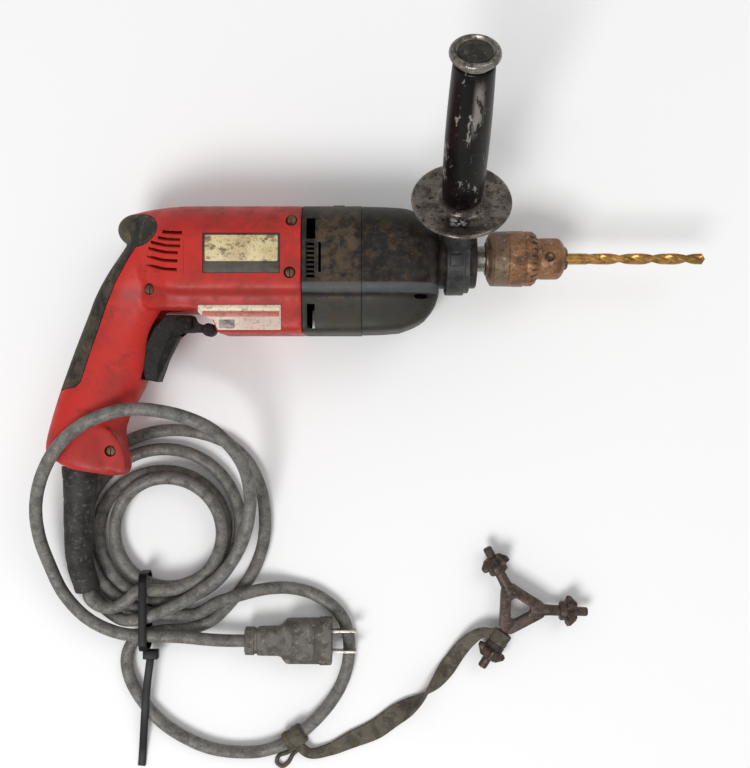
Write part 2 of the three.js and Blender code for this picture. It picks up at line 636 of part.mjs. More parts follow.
screwPlaces.forEach(([x, y], i) => {
  const top = screwTops[i];
  const head = pin(x, y, top - screw.headHeight, top, screw.headRadius, 10);
  const shank = pin(x, y, screwEnd(top), top - screw.headHeight * 0.6, screw.shankRadius, 6);
  const slotHalf = screw.headRadius / 6;
  const slot = block(
    [x - screw.headRadius - overrun, x + screw.headRadius + overrun], [y - slotHalf, y + slotHalf],
    [top - screw.headHeight / 2, top + overrun],
  );
  add(screwNames[i], cut(join(head, shank), slot), finish.steel);
});

add('name_plate', plateBlock(namePlate, 0, gap, gap + plate.thickness, namePlateMatrix), finish.cream);
add(
  'rating_plate', plateBlock(ratingPlate, 0, gap, gap + plate.thickness, ratingPlateMatrix), finish.cream,
);

add('trigger', prism(triggerOutline, -trigger.halfWidth, trigger.halfWidth), finish.blackPlastic);

function ovalOutline(x, y, length, height, steps = 12) {
  return Array.from({ length: steps }, (_, i) => {
    const angle = (i / steps) * 2 * Math.PI;
    return [x + (Math.cos(angle) * length) / 2, y + (Math.sin(angle) * height) / 2];
  });
}

const leverTop = -bay.roof - gap;
const armHeight = [-lever.knobDrop + gap, -lever.knobDrop + gap + lever.thickness];
add('reversing_lever', join(
  prism(
    ovalOutline(-lever.knobAt, -lever.knobDrop, lever.knobLength, lever.knobHeight), -lever.halfWidth * 2,
    lever.halfWidth * 2,
  ),
  block([-lever.pivotAt, -lever.knobAt], armHeight, [-lever.halfWidth, lever.halfWidth]),
  rodBetween(
    new THREE.Vector3(-lever.pivotAt, armHeight[0], 0), new THREE.Vector3(-lever.pivotAt, leverTop, 0),
    lever.halfWidth, 8,
  ),
), finish.blackPlastic);

add('switch_body', block(
  [switchFront, switchFront + switchBody.depth],
  [switchMiddle - switchBody.height / 2, switchMiddle + switchBody.height / 2],
  [-switchBody.halfWidth, switchBody.halfWidth],
  pullFrame,
), finish.blackPlastic);

const handleSide = -handleShares[5][4] * body.halfWidth;
add('lock_button', pin(
  lockPlace.x, lockPlace.y, handleSide - lockButton.proud, handleSide + handle.wall - gap,
  lockButton.radius, 16,
), finish.blackPlastic);

// Motor

const shaftEnd = firstStage.from + firstStage.pinionLength;

function gearOutline({ module, teeth, shift, toothAngle, flankPoints }) {
  const pitch = (module * teeth) / 2;
  const base = pitch * Math.cos(pressureAngle);
  const tip = pitch + module * (0.8 + shift);
  const root = pitch - module * (1.1 - shift);
  const involute = (angle) => Math.tan(angle) - angle;
  const halfAtPitch = (Math.PI / 2 + 2 * shift * Math.tan(pressureAngle)) / teeth - backlash / (2 * pitch);
  const halfAt = (radius) => halfAtPitch + involute(pressureAngle)
    - (radius > base ? involute(Math.acos(base / radius)) : 0);
  const outline = [];
  for (let tooth = 0; tooth < teeth; tooth += 1) {
    const middle = toothAngle + (tooth / teeth) * 2 * Math.PI;
    for (const side of [-1, 1]) {
      for (let i = 0; i < flankPoints; i += 1) {
        const share = side < 0 ? i / (flankPoints - 1) : 1 - i / (flankPoints - 1);
        const radius = root + (tip - root) * share;
        const angle = middle + side * halfAt(radius);
        outline.push([radius * Math.cos(angle), radius * Math.sin(angle)]);
      }
    }
  }
  return outline;
}

const moved = (outline, height) => outline.map(([up, out]) => [up + height, out]);
const layHeight = motor.height - (firstStage.module * (firstStage.pinionTeeth + firstStage.gearTeeth)) / 2;

const armaturePinion = bar(moved(gearOutline({
  module: firstStage.module, teeth: firstStage.pinionTeeth, shift: firstStage.shift,
  toothAngle: Math.PI, flankPoints: 3,
}), motor.height), firstStage.from, shaftEnd);
add('armature_shaft', join(
  drum(-rearBearing.from, firstStage.from, motor.shaftRadius, 12, motor.height), armaturePinion,
), finish.steel);

const shaftBore = drum(-fullDepth * 3, fullDepth, motor.shaftRadius + gap, 12, motor.height);
const coreFrom = -field.from;
const coreTo = -field.from + field.length;
add('armature_core', cut(turned([
  [coreFrom - armature.windingLength, 0], [coreFrom - armature.windingLength, armature.windingRadius],
  [coreFrom, armature.windingRadius], [coreFrom, armature.radius], [coreTo, armature.radius],
  [coreTo, armature.windingRadius], [coreTo + armature.windingLength, armature.windingRadius],
  [coreTo + armature.windingLength, 0],
], 12, motor.height), shaftBore), finish.laminate);
add('commutator', ring(
  -commutator.from, -commutator.from + commutator.length, commutator.radius, motor.shaftRadius + gap, 14,
  motor.height,
), finish.copper);
add('motor_rear_bearing', ring(
  -rearBearing.from, -rearBearing.from + rearBearing.width - gap, rearBearing.radius,
  motor.shaftRadius + gap, 14,
  motor.height,
), finish.steel);
add('motor_front_bearing', ring(
  frontBearing.from, frontBearing.from + frontBearing.width, frontBearing.radius, motor.shaftRadius + gap,
  14,
  motor.height,
), finish.steel);

const fieldRound = drum(coreFrom, coreTo, field.radius, 16, motor.height);
const fieldFlats = block(
  [coreFrom, coreTo], [motor.height - field.halfHeight, motor.height + field.halfHeight],
  [-fullDepth, fullDepth],
);
const fieldWindings = ring(
  coreFrom - armature.windingLength, coreTo + armature.windingLength, field.radius * field.windingShare,
  field.boreRadius, 16,
  motor.height,
);
add('field_core', cut(
  join(common(fieldRound, fieldFlats), fieldWindings),
  drum(coreFrom - fullDepth, coreTo + fullDepth, field.boreRadius, 16, motor.height),
), finish.laminate);

const brushMiddle = -commutator.from + commutator.length / 2;
const brushFrom = commutator.radius + gap;
for (const [name, side] of [['right', 1], ['left', -1]]) {
  const span = (low, high) => (side > 0 ? [low, high] : [-high, -low]);
  const column = (widen, low, high) => block(
    [brushMiddle - brush.width / 2 - widen, brushMiddle + brush.width / 2 + widen],
    [motor.height - brush.height / 2 - widen, motor.height + brush.height / 2 + widen],
    span(low, high),
  );
  const tubeFrom = brushFrom + brush.tubeWall * 2;
  const tubeTo = tubeFrom + brush.tubeLength;
  add(`brush_${name}`, column(0, brushFrom, brushFrom + brush.length), finish.carbon);
  add(`brush_holder_${name}`, cut(
    column(gap + brush.tubeWall, tubeFrom, tubeTo),
    column(gap, tubeFrom - overrun, tubeTo - brush.tubeWall),
  ), finish.brass);
}

const fanDisc = drum(fan.from, fan.from + fan.discThickness, fan.radius, 20, motor.height);
const fanHub = drum(
  fan.from, fan.from + fan.discThickness + fan.bladeLength, fan.hubRadius, 10, motor.height,
);
const fanBlades = Array.from({ length: fan.blades }, (_, i) => block(
  [fan.from + fan.discThickness / 2, fan.from + fan.discThickness + fan.bladeLength],
  [fan.hubRadius * 0.9, fan.radius - gap], [-fan.discThickness / 2, fan.discThickness / 2],
  new THREE.Matrix4().makeTranslation(0, motor.height, 0)
    .multiply(new THREE.Matrix4().makeRotationX((i / fan.blades) * 2 * Math.PI)),
));
add('fan', cut(join(fanDisc, fanHub, ...fanBlades), shaftBore), finish.blackPlastic);

// Gear case

const straight = [1, 1, 1];
const section = (from, to, inset) => barrel([[from, ...straight], [to, ...straight]], inset);
const frontBossCuts = bosses.slice(0, 2).map((_, i) => {
  const [x, y] = screwPlaces[i];
  return pin(x, y, -fullDepth, fullDepth, screw.bossRadius + gap * 2, 8);
});

function exhaustCuts() {
  const from = rearCase.shoulder + gap;
  const to = from + exhaust.length;
  const heights = [exhaust.topWindow, exhaust.keelWindow];
  for (let i = 0; i < exhaust.slots; i += 1) {
    const low = exhaust.slotFrom + i * exhaust.slotPitch;
    heights.push([low, low + exhaust.slotHeight]);
  }
  return heights.map(([low, high]) => block([from, to], [low, high], [-fullDepth, fullDepth]));
}

const diaphragmTo = rearCase.diaphragmFrom + rearCase.diaphragm;
const bearingLip = frontBearing.from + frontBearing.width + gap;
const selectorTravel = [-selector.halfWidth - selector.travel - gap, selector.halfWidth + gap];
add('gearcase_rear', cut(
  join(
    cut(section(gap, rearCase.front, 0), section(diaphragmTo, rearCase.front + overrun, rearCase.wall),
      section(-overrun, rearCase.diaphragmFrom, rearCase.wall)),
    cut(
      join(section(-rearCase.skirt, gap * 2, body.wall + gap), section(gap, rearCase.shoulder, 0)),
      section(
        -rearCase.skirt - overrun, rearCase.shoulder + overrun, body.wall + gap + rearCase.skirtWall,
      ),
    ),
  ),
  ...frontBossCuts,
  drum(rearCase.diaphragmFrom - overrun, bearingLip, frontBearing.radius + gap, 24, motor.height),
  drum(bearingLip - overrun, diaphragmTo + overrun, frontBearing.lipRadius, 20, motor.height),
  drum(layshaft.rearEnd - gap, diaphragmTo + overrun, layshaft.radius + gap, 12, layHeight),
  ...exhaustCuts(),
  block(
    [selector.from - gap, selector.from + selector.length + gap], [body.top / 2, body.top + overrun],
    selectorTravel,
  ),
), finish.castCase);

const plateTo = bearingPlate.from + bearingPlate.thickness;
const plateShares = [[bearingPlate.from, ...straight], [plateTo, ...straight]];
add('bearing_plate', cut(
  barrel(plateShares, rearCase.wall + gap),
  drum(bearingPlate.from - overrun, plateTo + overrun, spindleRearBearing.radius + gap, 24),
  drum(bearingPlate.from - overrun, plateTo + overrun, layshaft.collarRadius + gap, 12, layHeight),
), finish.castCase);

const frontFrom = rearCase.front + gap;
const frontReach = frontCase.front - frontFrom;
const frontShares = [
  [0, 0.99, 0.99, 1], [0.5, 0.963, 0.961, 1], [0.582, 0.94, 0.93, 0.995], [0.77, 0.84, 0.855, 0.94],
  [0.89, 0.71, 0.75, 0.83], [0.96, 0.62, 0.64, 0.69], [1, 0.56, 0.5, 0.56],
];
const frontStations = frontShares.map(([along, ...shares]) => [frontFrom + along * frontReach, ...shares]);
const partition = { ratchet: [48.4, 54.8], springSeat: [60.4, 62.4] };
const bearingTo = spindleFrontBearing.from + spindleFrontBearing.width;
const hollowFront = frontStations.map(([at, ...shares]) => [at - frontCase.wall, ...shares]);
hollowFront[0][0] = frontFrom - overrun;
const frontHollow = common(
  barrel(hollowFront.slice(0, -1), frontCase.wall),
  block([frontFrom - overrun, partition.springSeat[0]], [-body.bottom, body.top], [-fullDepth, fullDepth]),
);
const ratchetFrom = hammer.ratchetFrom;
add('gearcase_front', cut(
  join(
    cut(barrel(frontStations), frontHollow),
    common(section(...partition.ratchet, 0), barrel(frontStations)),
    drum(frontCase.front - frontCase.wall, frontCase.noseEnd, frontCase.noseRadius, 24),
  ),
  drum(partition.ratchet[0] - overrun, partition.ratchet[1] + overrun, hammer.radius + gap * 2, 20),
  drum(
    partition.ratchet[0] - overrun, partition.ratchet[1] + overrun, layshaft.radius + gap, 12, layHeight,
  ),
  drum(
    partition.springSeat[0] - overrun, frontCase.noseEnd + overrun, spindle.neckRadius + frontCase.play,
    20,
  ),
  drum(partition.springSeat[1], bearingTo + gap, spindleFrontBearing.radius + gap, 24),
), finish.castCase);

add('intermediate_shaft', join(
  drum(layshaft.rearEnd, layshaft.frontEnd, layshaft.radius, 10, layHeight),
  drum(
    firstStage.from + firstStage.gearLength + gap * 4, secondStage.from, layshaft.collarRadius, 12,
    layHeight,
  ),
  bar(moved(gearOutline({
    module: secondStage.module, teeth: secondStage.pinionTeeth, shift: secondStage.shift,
    toothAngle: Math.PI / secondStage.pinionTeeth, flankPoints: 3,
  }), layHeight), secondStage.from, secondStage.from + secondStage.pinionLength),
), finish.steel);
const layGearFrom = firstStage.from + gap * 2;
add('intermediate_gear', cut(
  bar(moved(gearOutline({
    module: firstStage.module, teeth: firstStage.gearTeeth, shift: -firstStage.shift,
    toothAngle: Math.PI / firstStage.gearTeeth, flankPoints: 2,
  }), layHeight), layGearFrom, layGearFrom + firstStage.gearLength),
  drum(
    layGearFrom - overrun, layGearFrom + firstStage.gearLength + overrun, layshaft.radius + gap, 12,
    layHeight,
  ),
), finish.steel);
const spindleGearFrom = secondStage.from + gap * 2;
add('spindle_gear', cut(
  bar(gearOutline({
    module: secondStage.module, teeth: secondStage.gearTeeth, shift: -secondStage.shift,
    toothAngle: Math.PI, flankPoints: 2,
  }), spindleGearFrom, spindleGearFrom + secondStage.gearLength),
  drum(
    spindleGearFrom - overrun, spindleGearFrom + secondStage.gearLength + overrun,
    spindle.seatRadius + gap, 14,
  ),
), finish.steel);

const spindleFrom = bearingPlate.from + gap / 3;
const shoulderFrom = plateTo + hammer.travel + gap * 3;
const collarFrom = bearingTo + gap;
const neckTo = chuck.from - gap;
add('spindle', turned([
  [spindleFrom, 0], [spindleFrom, spindle.rearRadius - gap], [shoulderFrom, spindle.rearRadius - gap],
  [shoulderFrom, spindle.seatRadius], [partition.springSeat[1], spindle.seatRadius],
  [partition.springSeat[1], spindleFrontBearing.boreRadius - gap],
  [collarFrom, spindleFrontBearing.boreRadius - gap], [collarFrom, spindle.neckRadius + gap * 3],
  [collarFrom + gap * 4, spindle.neckRadius + gap * 3], [collarFrom + gap * 4, spindle.neckRadius],
  [neckTo, spindle.neckRadius], [neckTo, spindle.threadRadius],
  [neckTo + spindle.threadLength, spindle.threadRadius], [neckTo + spindle.threadLength, 0],
], 14), finish.steel);
add('spindle_rear_bearing', ring(
  bearingPlate.from + gap / 2, bearingPlate.from + gap / 2 + spindleRearBearing.width,
  spindleRearBearing.radius,
  spindleRearBearing.boreRadius, 14,
), finish.steel);
add('spindle_front_bearing', ring(
  spindleFrontBearing.from, bearingTo, spindleFrontBearing.radius, spindleFrontBearing.boreRadius, 14,
), finish.steel);

function ratchet(from, to, boreRadius, teethFrom, teethTo) {
  const teeth = Array.from({ length: hammer.teeth }, (_, i) => block(
    [teethFrom, teethTo], [boreRadius + gap, hammer.radius - gap], [-gap * 2, gap * 2],
    new THREE.Matrix4().makeRotationX((i / hammer.teeth) * 2 * Math.PI),
  ));
  return join(ring(from, to, hammer.radius, boreRadius, 12), ...teeth);
}
const fixedTo = ratchetFrom + hammer.ratchetThickness;
add('ratchet_fixed', ratchet(
  ratchetFrom, fixedTo, spindle.seatRadius + gap * 2, fixedTo - gap, fixedTo + hammer.toothHeight,
), finish.steel);
const movingFrom = fixedTo + hammer.toothHeight * 2 + hammer.travel + hammer.spare;
add('ratchet_spindle', ratchet(
  movingFrom, partition.springSeat[0] - gap, spindle.seatRadius + gap,
  movingFrom - hammer.toothHeight, movingFrom + gap,
), finish.steel);

function coiledWire({ from, to, turns, meanRadius, wireRadius, sides, stepsPerTurn }) {
  const steps = Math.round(turns * stepsPerTurn);
  return skin(Array.from({ length: steps + 1 }, (_, i) => {
    const angle = (i / steps) * turns * 2 * Math.PI;
    const along = from + wireRadius + (i / steps) * (to - from - 2 * wireRadius);
    return Array.from({ length: sides }, (_unused, k) => {
      const around = (k / sides) * 2 * Math.PI;
      const radius = meanRadius + Math.cos(around) * wireRadius;
      return new THREE.Vector3(
        along + Math.sin(around) * wireRadius, radius * Math.cos(angle), radius * Math.sin(angle),
      );
    });
  }));
}
const springTo = spindleFrontBearing.from - hammer.travel - gap;
add('hammer_spring', coiledWire({
  from: partition.springSeat[1] + gap, to: springTo, turns: spring.turns, meanRadius: spring.meanRadius,
  wireRadius: spring.wireRadius, sides: 5, stepsPerTurn: 17,
}), finish.steel);

const fingerTo = bearingPlate.from - gap;
const fingerSide = [
  selector.halfWidth + selector.travel / 2, selector.halfWidth + selector.travel - gap * 2,
];
const insideTop = body.top - rearCase.wall - gap * 2;
add('mode_selector', join(
  block([selector.from, selector.from + selector.length], [insideTop - gap * 3, body.top + selector.proud],
    [-selector.halfWidth, selector.halfWidth]),
  block(
    [diaphragmTo + gap, fingerTo], [insideTop - selector.armThickness, insideTop - gap],
    [-selector.halfWidth, fingerSide[1]],
  ),
  block(
    [fingerTo - selector.fingerThickness, fingerTo], [spindle.rearRadius / 2, insideTop - gap * 2],
    fingerSide,
  ),
), finish.blackPlastic);

// Side handle

const bandMiddle = clamp.from + clamp.width / 2;
const sidePlace = new THREE.Matrix4().makeTranslation(bandMiddle, 0, 0)
  .multiply(new THREE.Matrix4().makeRotationX(sideHandle.tilt));
const upright = new THREE.Matrix4().makeRotationZ(Math.PI / 2);
const sideFrame = sidePlace.clone().multiply(upright);
const turnedUp = (profile, sides) => turned(profile, sides, 0, sideFrame);
const rodUp = (from, to, radius, sides) => drum(from, to, radius, sides, 0, sideFrame);

const boltFrom = clamp.radius + gap;
add('clamp_band', cut(
  join(
    drum(clamp.from, clamp.from + clamp.width, clamp.radius, 24),
    rodUp(frontCase.noseRadius, clamp.neckTop, clamp.neckRadius, 16),
  ),
  drum(clamp.from - overrun, clamp.from + clamp.width + overrun, frontCase.noseRadius + gap * 2, 24),
  rodUp(boltFrom - gap, clamp.neckTop + overrun, sideHandle.boltRadius + gap * 1.5, 12),
), finish.castCase);
const flangeFrom = clamp.neckTop + gap;
const flangeTo = sideHandle.flangeHeight + 3;
const flangeShares = [
  [0, 0.35], [0.3, 0.4], [0.52, 0.7], [0.6, 1], [0.8, 1], [0.84, 0.78], [0.74, 0.5], [1, 0.43],
];
const flangeTall = flangeTo - flangeFrom;
const flangeRise = ([up, out]) => [flangeFrom + up * flangeTall, out * sideHandle.flangeRadius];
add('side_flange', cut(
  turnedUp([[flangeFrom, 0], ...flangeShares.map(flangeRise), [flangeTo, 0]], 20),
  rodUp(flangeFrom - overrun, flangeTo + overrun, sideHandle.boltRadius + gap * 1.5, 12),
), finish.flange);
const gripFrom = flangeTo + gap;
const gripTo = sideHandle.capHeight - sideHandle.capLength;
const gripTall = gripTo - gripFrom;
const sideGripShares = [[0, 0.92], [0.04, 0.97], [0.3, 1], [0.6, 0.99], [0.85, 0.94], [1, 0.88]];
const boltTo = gripTo - sideHandle.boltRadius;
add('side_grip', cut(
  turnedUp([
    [gripFrom, 0],
    ...sideGripShares.map(([up, out]) => [gripFrom + up * gripTall, out * sideHandle.gripRadius]),
    [gripTo, 0],
  ], 16),
  rodUp(gripFrom - overrun, boltTo + gap, sideHandle.boltRadius + gap * 1.5, 12),
), finish.gloss);
const capFrom = gripTo + gap;
const capShares = [
  [0, 0.8], [0.12, 1], [0.4, 1], [0.46, 0.92], [0.54, 0.92], [0.6, 1], [0.88, 1], [1, 0.86],
];
add('grip_cap', turnedUp([
  [capFrom, 0],
  ...capShares.map(
    ([up, out]) => [capFrom + up * (sideHandle.capHeight - capFrom), out * sideHandle.capRadius],
  ),
  [sideHandle.capHeight, 0],
], 18), finish.flange);
add('handle_bolt', rodUp(boltFrom, boltTo, sideHandle.boltRadius, 12), finish.steel);

// Chuck and bit

const aroundX = (angle) => new THREE.Matrix4().makeRotationX(angle);
const jawAngles = [30, 150, 270].map((degrees) => THREE.MathUtils.degToRad(degrees));
const keyHoleAngles = [90, 210, 330].map((degrees) => THREE.MathUtils.degToRad(degrees));

function jawRod(radius, tipAt, length, angle) {
  const tip = new THREE.Vector3(tipAt, jaw.tipRadius, 0);
  const back = new THREE.Vector3(-Math.cos(jaw.incline), Math.sin(jaw.incline), 0);
  const front = tip.clone().addScaledVector(back, -overrun * 2);
  const end = tip.clone().addScaledVector(back, length);
  return rodBetween(front.applyMatrix4(aroundX(angle)), end.applyMatrix4(aroundX(angle)), radius, 8);
}

const nutFrom = nut.from;
const nutTo = nut.from + nut.length;
const sleeveFrom = chuck.from + chuck.sleeveInset;
const outerBody = chuckSize.frontRadius;
add('chuck_body', cut(
  turned([
    [chuck.from, 0], [chuck.from, outerBody], [chuck.bodyEnd, outerBody],
    [chuck.noseEnd, chuckSize.noseRadius], [chuck.noseEnd, 0],
  ], 24),
  drum(chuck.from - overrun, neckTo + spindle.threadLength + gap, spindle.threadRadius + gap, 16),
  drum(chuck.from, chuck.noseEnd + overrun, chuckSize.bore, 16),
  ...jawAngles.map(
    (angle) => jawRod(jaw.radius + gap, jaw.tipAt, jaw.length + jaw.travel + gap * 2, angle),
  ),
  ...keyHoleAngles.map((angle) => rodBetween(
    new THREE.Vector3(chuckSize.keyHoleAt, outerBody / 2, 0).applyMatrix4(aroundX(angle)),
    new THREE.Vector3(chuckSize.keyHoleAt, outerBody + overrun, 0).applyMatrix4(aroundX(angle)),
    chuckSize.keyHoleRadius, 8,
  )),
), finish.rust);

// A toothed ring of points: each tooth has two points out and two in
function toothedRing(at, tip, root, teeth, pointsOut = 2) {
  const count = teeth * pointsOut * 2;
  return Array.from({ length: count }, (_, i) => {
    const angle = (i / count) * 2 * Math.PI;
    const radius = i % (pointsOut * 2) < pointsOut ? tip : root;
    return new THREE.Vector3(at, radius * Math.cos(angle), radius * Math.sin(angle));
  });
}

const sleeveTip = chuckSize.sleeveRadius - bevel.depth / 2;
add('chuck_sleeve', cut(
  join(
    turned([
      [sleeveFrom, 0], [sleeveFrom, chuckSize.sleeveRadius * chuckSize.chamferShare],
      [chuck.chamferEnd, chuckSize.sleeveRadius], [bevel.from, chuckSize.sleeveRadius], [bevel.from, 0],
    ], 32),
    skin([
      toothedRing(
        bevel.from - gap, chuckSize.sleeveRadius - gap, chuckSize.sleeveRadius - gap, bevel.teeth,
      ),
      toothedRing(chuck.sleeveEnd, sleeveTip, sleeveTip - bevel.depth, bevel.teeth),
    ]),
  ),
  drum(sleeveFrom - overrun, chuck.sleeveEnd + overrun, outerBody + gap, 20),
  drum(nutFrom - gap, nutTo + gap, nut.outerRadius + gap, 20),
), finish.rust);
add('chuck_nut', ring(nutFrom, nutTo, nut.outerRadius - gap / 3, outerBody + gap * 2, 14), finish.steel);

const jawClip = turned([
  [nutFrom, 0], [nutFrom, chuckSize.sleeveRadius], [chuck.noseEnd, chuckSize.sleeveRadius],
  [chuck.noseEnd, chuckSize.noseRadius], [jaw.tipAt, jaw.tipRadius * 1.25], [jaw.tipAt, 0],
], 24);
const bitClearance = drum(nutFrom - overrun, jaw.tipAt + overrun, bit.radius + bit.grip, 12);
jawAngles.forEach((angle, i) => {
  const blank = jawRod(jaw.radius, jaw.tipAt, jaw.length, angle);
  add(`jaw_${i + 1}`, cut(common(blank, jawClip), bitClearance), finish.steel);
});

// One turn of the flutes takes the lead, and the shares are of the bit's radius around one section
const fluteShares = [1, 1, 0.55, 0.36, 0.45, 0.85, 1, 1, 0.55, 0.36, 0.45, 0.85];
function fluteRing(at, shrink) {
  const turn = (at / bit.lead) * 2 * Math.PI;
  return fluteShares.map((share, i) => {
    const angle = (i / fluteShares.length) * 2 * Math.PI + turn;
    const radius = bit.radius * share * shrink;
    return new THREE.Vector3(at, radius * Math.cos(angle), radius * Math.sin(angle));
  });
}
const fluteSteps = 10;
const fluteTo = bit.tip - bit.pointLength;
const fluteRings = Array.from({ length: fluteSteps + 1 }, (_, i) => (
  fluteRing(bit.fluteFrom + (i / fluteSteps) * (fluteTo - bit.fluteFrom), 1)
));
fluteRings.push(fluteRing(bit.tip, bit.webShare / 4));
add('drill_bit', join(
  drum(bit.rear, bit.fluteFrom + bit.radius / 2, bit.radius, 16), skin(fluteRings),
), finish.gold);

// Cord protector and clamp

const guardCurve = new THREE.CatmullRomCurve3(
  protector.route.map(([x, y, z]) => new THREE.Vector3(x, y, z)), false, 'centripetal',
);

// Rings of a round section, square to a curve
function tubeRings(curve, stations, sides) {
  const side = new THREE.Vector3(1, 0, 0);
  return stations.map(([along, radius]) => {
    const centre = curve.getPointAt(along);
    const ahead = curve.getTangentAt(along);
    const across = side.clone().addScaledVector(ahead, -side.dot(ahead)).normalize();
    const over = new THREE.Vector3().crossVectors(ahead, across);
    return Array.from({ length: sides }, (_, i) => {
      const angle = (i / sides) * 2 * Math.PI;
      return centre.clone()
        .addScaledVector(across, Math.cos(angle) * radius)
        .addScaledVector(over, Math.sin(angle) * radius);
    });
  });
}

const guardStations = [];
guardStations.push([0, protector.topRadius]);
for (let i = 0; i < protector.ribs; i += 1) {
  const from = 0.16 + (i / protector.ribs) * 0.8;
  const radius = protector.topRadius + (protector.endRadius - protector.topRadius) * from;
  guardStations.push([from, radius], [from + 0.02, radius - protector.ribDepth]);
  guardStations.push(
    [from + 0.05, radius - protector.ribDepth], [from + 0.07, radius - protector.ribDepth / 3],
  );
}
guardStations.push([1, protector.endRadius]);
const guardTop = guardCurve.getPointAt(0);
const upFrom = (distance) => guardTop.clone().add(new THREE.Vector3(0, distance, 0));
add('cord_protector', join(
  skin(tubeRings(guardCurve, guardStations, 10)),
  rodBetween(upFrom(-overrun), upFrom(protector.neckLength), protector.neckRadius, 18),
  rodBetween(upFrom(protector.neckLength - overrun), upFrom(protector.stubLength), cord.diameter / 2, 12),
), finish.greyRubber);
const stubMiddle = upFrom((protector.neckLength + protector.stubLength) / 2);
add('cord_clamp', cut(
  block(
    [stubMiddle.x - cordClamp.length / 2, stubMiddle.x + cordClamp.length / 2],
    [stubMiddle.y - cordClamp.width / 2, stubMiddle.y + cordClamp.width / 2],
    [-cord.diameter / 2 - cordClamp.thickness, -gap],
  ),
  rodBetween(upFrom(0), upFrom(protector.stubLength * 2), cord.diameter / 2 + gap, 16),
), finish.blackPlastic);

// Cord: the lead out of the protector, three turns of coil, and the run to the plug

const spline = (points) => new THREE.CatmullRomCurve3(
  points.map(([x, y, z]) => new THREE.Vector3(x, y, z)), false, 'centripetal',
);
const guardEnd = guardCurve.getPointAt(1);
const guardWay = guardCurve.getTangentAt(1);
const stepFrom = (point, way, distance) => point.clone().addScaledVector(way, distance).toArray();

const coilStations = new THREE.SplineCurve(coilShares.map((share, i) => (
  new THREE.Vector2(share * coil.radius, coilHeights[i])
)));
const coilPoints = Array.from({ length: coil.turns * coil.stepsPerTurn + 1 }, (_, i) => {
  const share = i / (coil.turns * coil.stepsPerTurn);
  const { x: radius, y: height } = coilStations.getPoint(share);
  const angle = share * coil.turns * 2 * Math.PI - Math.PI / 2;
  return new THREE.Vector3(
    coil.centre[0] + Math.cos(angle) * radius, coil.centre[1] + Math.sin(angle) * radius, height,
  );
});
const ahead = new THREE.Vector3(1, 0, 0);
const coilStart = coilPoints[0].clone().addScaledVector(ahead, -cord.diameter);
const coilEnd = coilPoints[coilPoints.length - 1].clone().addScaledVector(ahead, cord.diameter);
coilPoints.unshift(coilStart);
coilPoints.push(coilEnd);

const leadCurve = spline([
  stepFrom(guardEnd, guardWay, gap), stepFrom(guardEnd, guardWay, gap + cord.diameter), ...leadRoute,
  stepFrom(coilStart, ahead, -gap - cord.diameter), stepFrom(coilStart, ahead, -gap),
]);
const plugBack = new THREE.Vector3(plug.back, plug.height, plug.level);
const runCurve = spline([
  stepFrom(coilEnd, ahead, gap), stepFrom(coilEnd, ahead, gap + cord.diameter), ...runRoute,
  stepFrom(plugBack, ahead, -gap - cord.diameter), stepFrom(plugBack, ahead, -gap),
]);

function cordTube(curve, steps) {
  const section = new THREE.Shape(Array.from({ length: cord.sides }, (_, i) => {
    const angle = ((i + 0.5) / cord.sides) * 2 * Math.PI;
    return new THREE.Vector2(
      Math.cos(angle) * cord.diameter, Math.sin(angle) * cord.diameter,
    ).multiplyScalar(0.5);
  }));
  return solidOf(new THREE.ExtrudeGeometry(section, { extrudePath: curve, steps, bevelEnabled: false }));
}

function coilTube(points) {
  return skin(points.map((point, i) => {
    const before = points[Math.max(i - 1, 0)];
    const after = points[Math.min(i + 1, points.length - 1)];
    const way = after.clone().sub(before).normalize();
    const outward = new THREE.Vector3().crossVectors(way, new THREE.Vector3(0, 0, 1)).normalize();
    const over = new THREE.Vector3().crossVectors(outward, way);
    return Array.from({ length: cord.coilSides }, (_, k) => {
      const angle = (k / cord.coilSides) * 2 * Math.PI;
      return point.clone()
        .addScaledVector(outward, Math.cos(angle) * (cord.diameter / 2))
        .addScaledVector(over, Math.sin(angle) * (cord.diameter / 2));
    });
  }));
}

// The least gap between strands, on points a quarter of a diameter apart
function leastGap(strand, other = null) {
  const apart = cord.diameter * 2.5;
  let least = Infinity;
  const places = other ?? strand;
  for (const [point, along] of strand) {
    for (const [otherPoint, otherAlong] of places) {
      if (other || Math.abs(otherAlong - along) > apart) {
        least = Math.min(least, point.distanceTo(otherPoint) - cord.diameter);
      }
    }
  }
  return least;
}
function strandOf(curve) {
  const length = curve.getLength();
  const count = Math.round(length / (cord.diameter / 4));
  return curve.getSpacedPoints(count).map((point, i) => [point, (i / count) * length]);
}
const coilCurve = new THREE.CatmullRomCurve3(coilPoints, false, 'centripetal');
coilCurve.arcLengthDivisions = coilPoints.length * 8;
leadCurve.arcLengthDivisions = leadRoute.length * 20;
runCurve.arcLengthDivisions = runRoute.length * 16;
const leadStrand = strandOf(leadCurve);
const coilStrand = strandOf(coilCurve);
const runStrand = strandOf(runCurve);
const beyond = (strand, from) => strand.filter(([, along]) => along > from);
const until = (strand, from) => strand.filter(([, along]) => along < strand[strand.length - 1][1] - from);
const measures = {
  'coil to itself': leastGap(coilStrand),
  'run to itself': leastGap(runStrand),
  'lead to coil': leastGap(leadStrand, beyond(coilStrand, cord.diameter * 2.5)),
  'lead to run': leastGap(leadStrand, runStrand),
  'coil to run': Math.min(
    leastGap(coilStrand, beyond(runStrand, cord.diameter * 2.5)),
    leastGap(until(coilStrand, cord.diameter * 2.5), runStrand),
  ),
};
for (const [name, value] of Object.entries(measures)) {
  console.log(`least gap, ${name}: ${value.toFixed(2)} mm`);
}
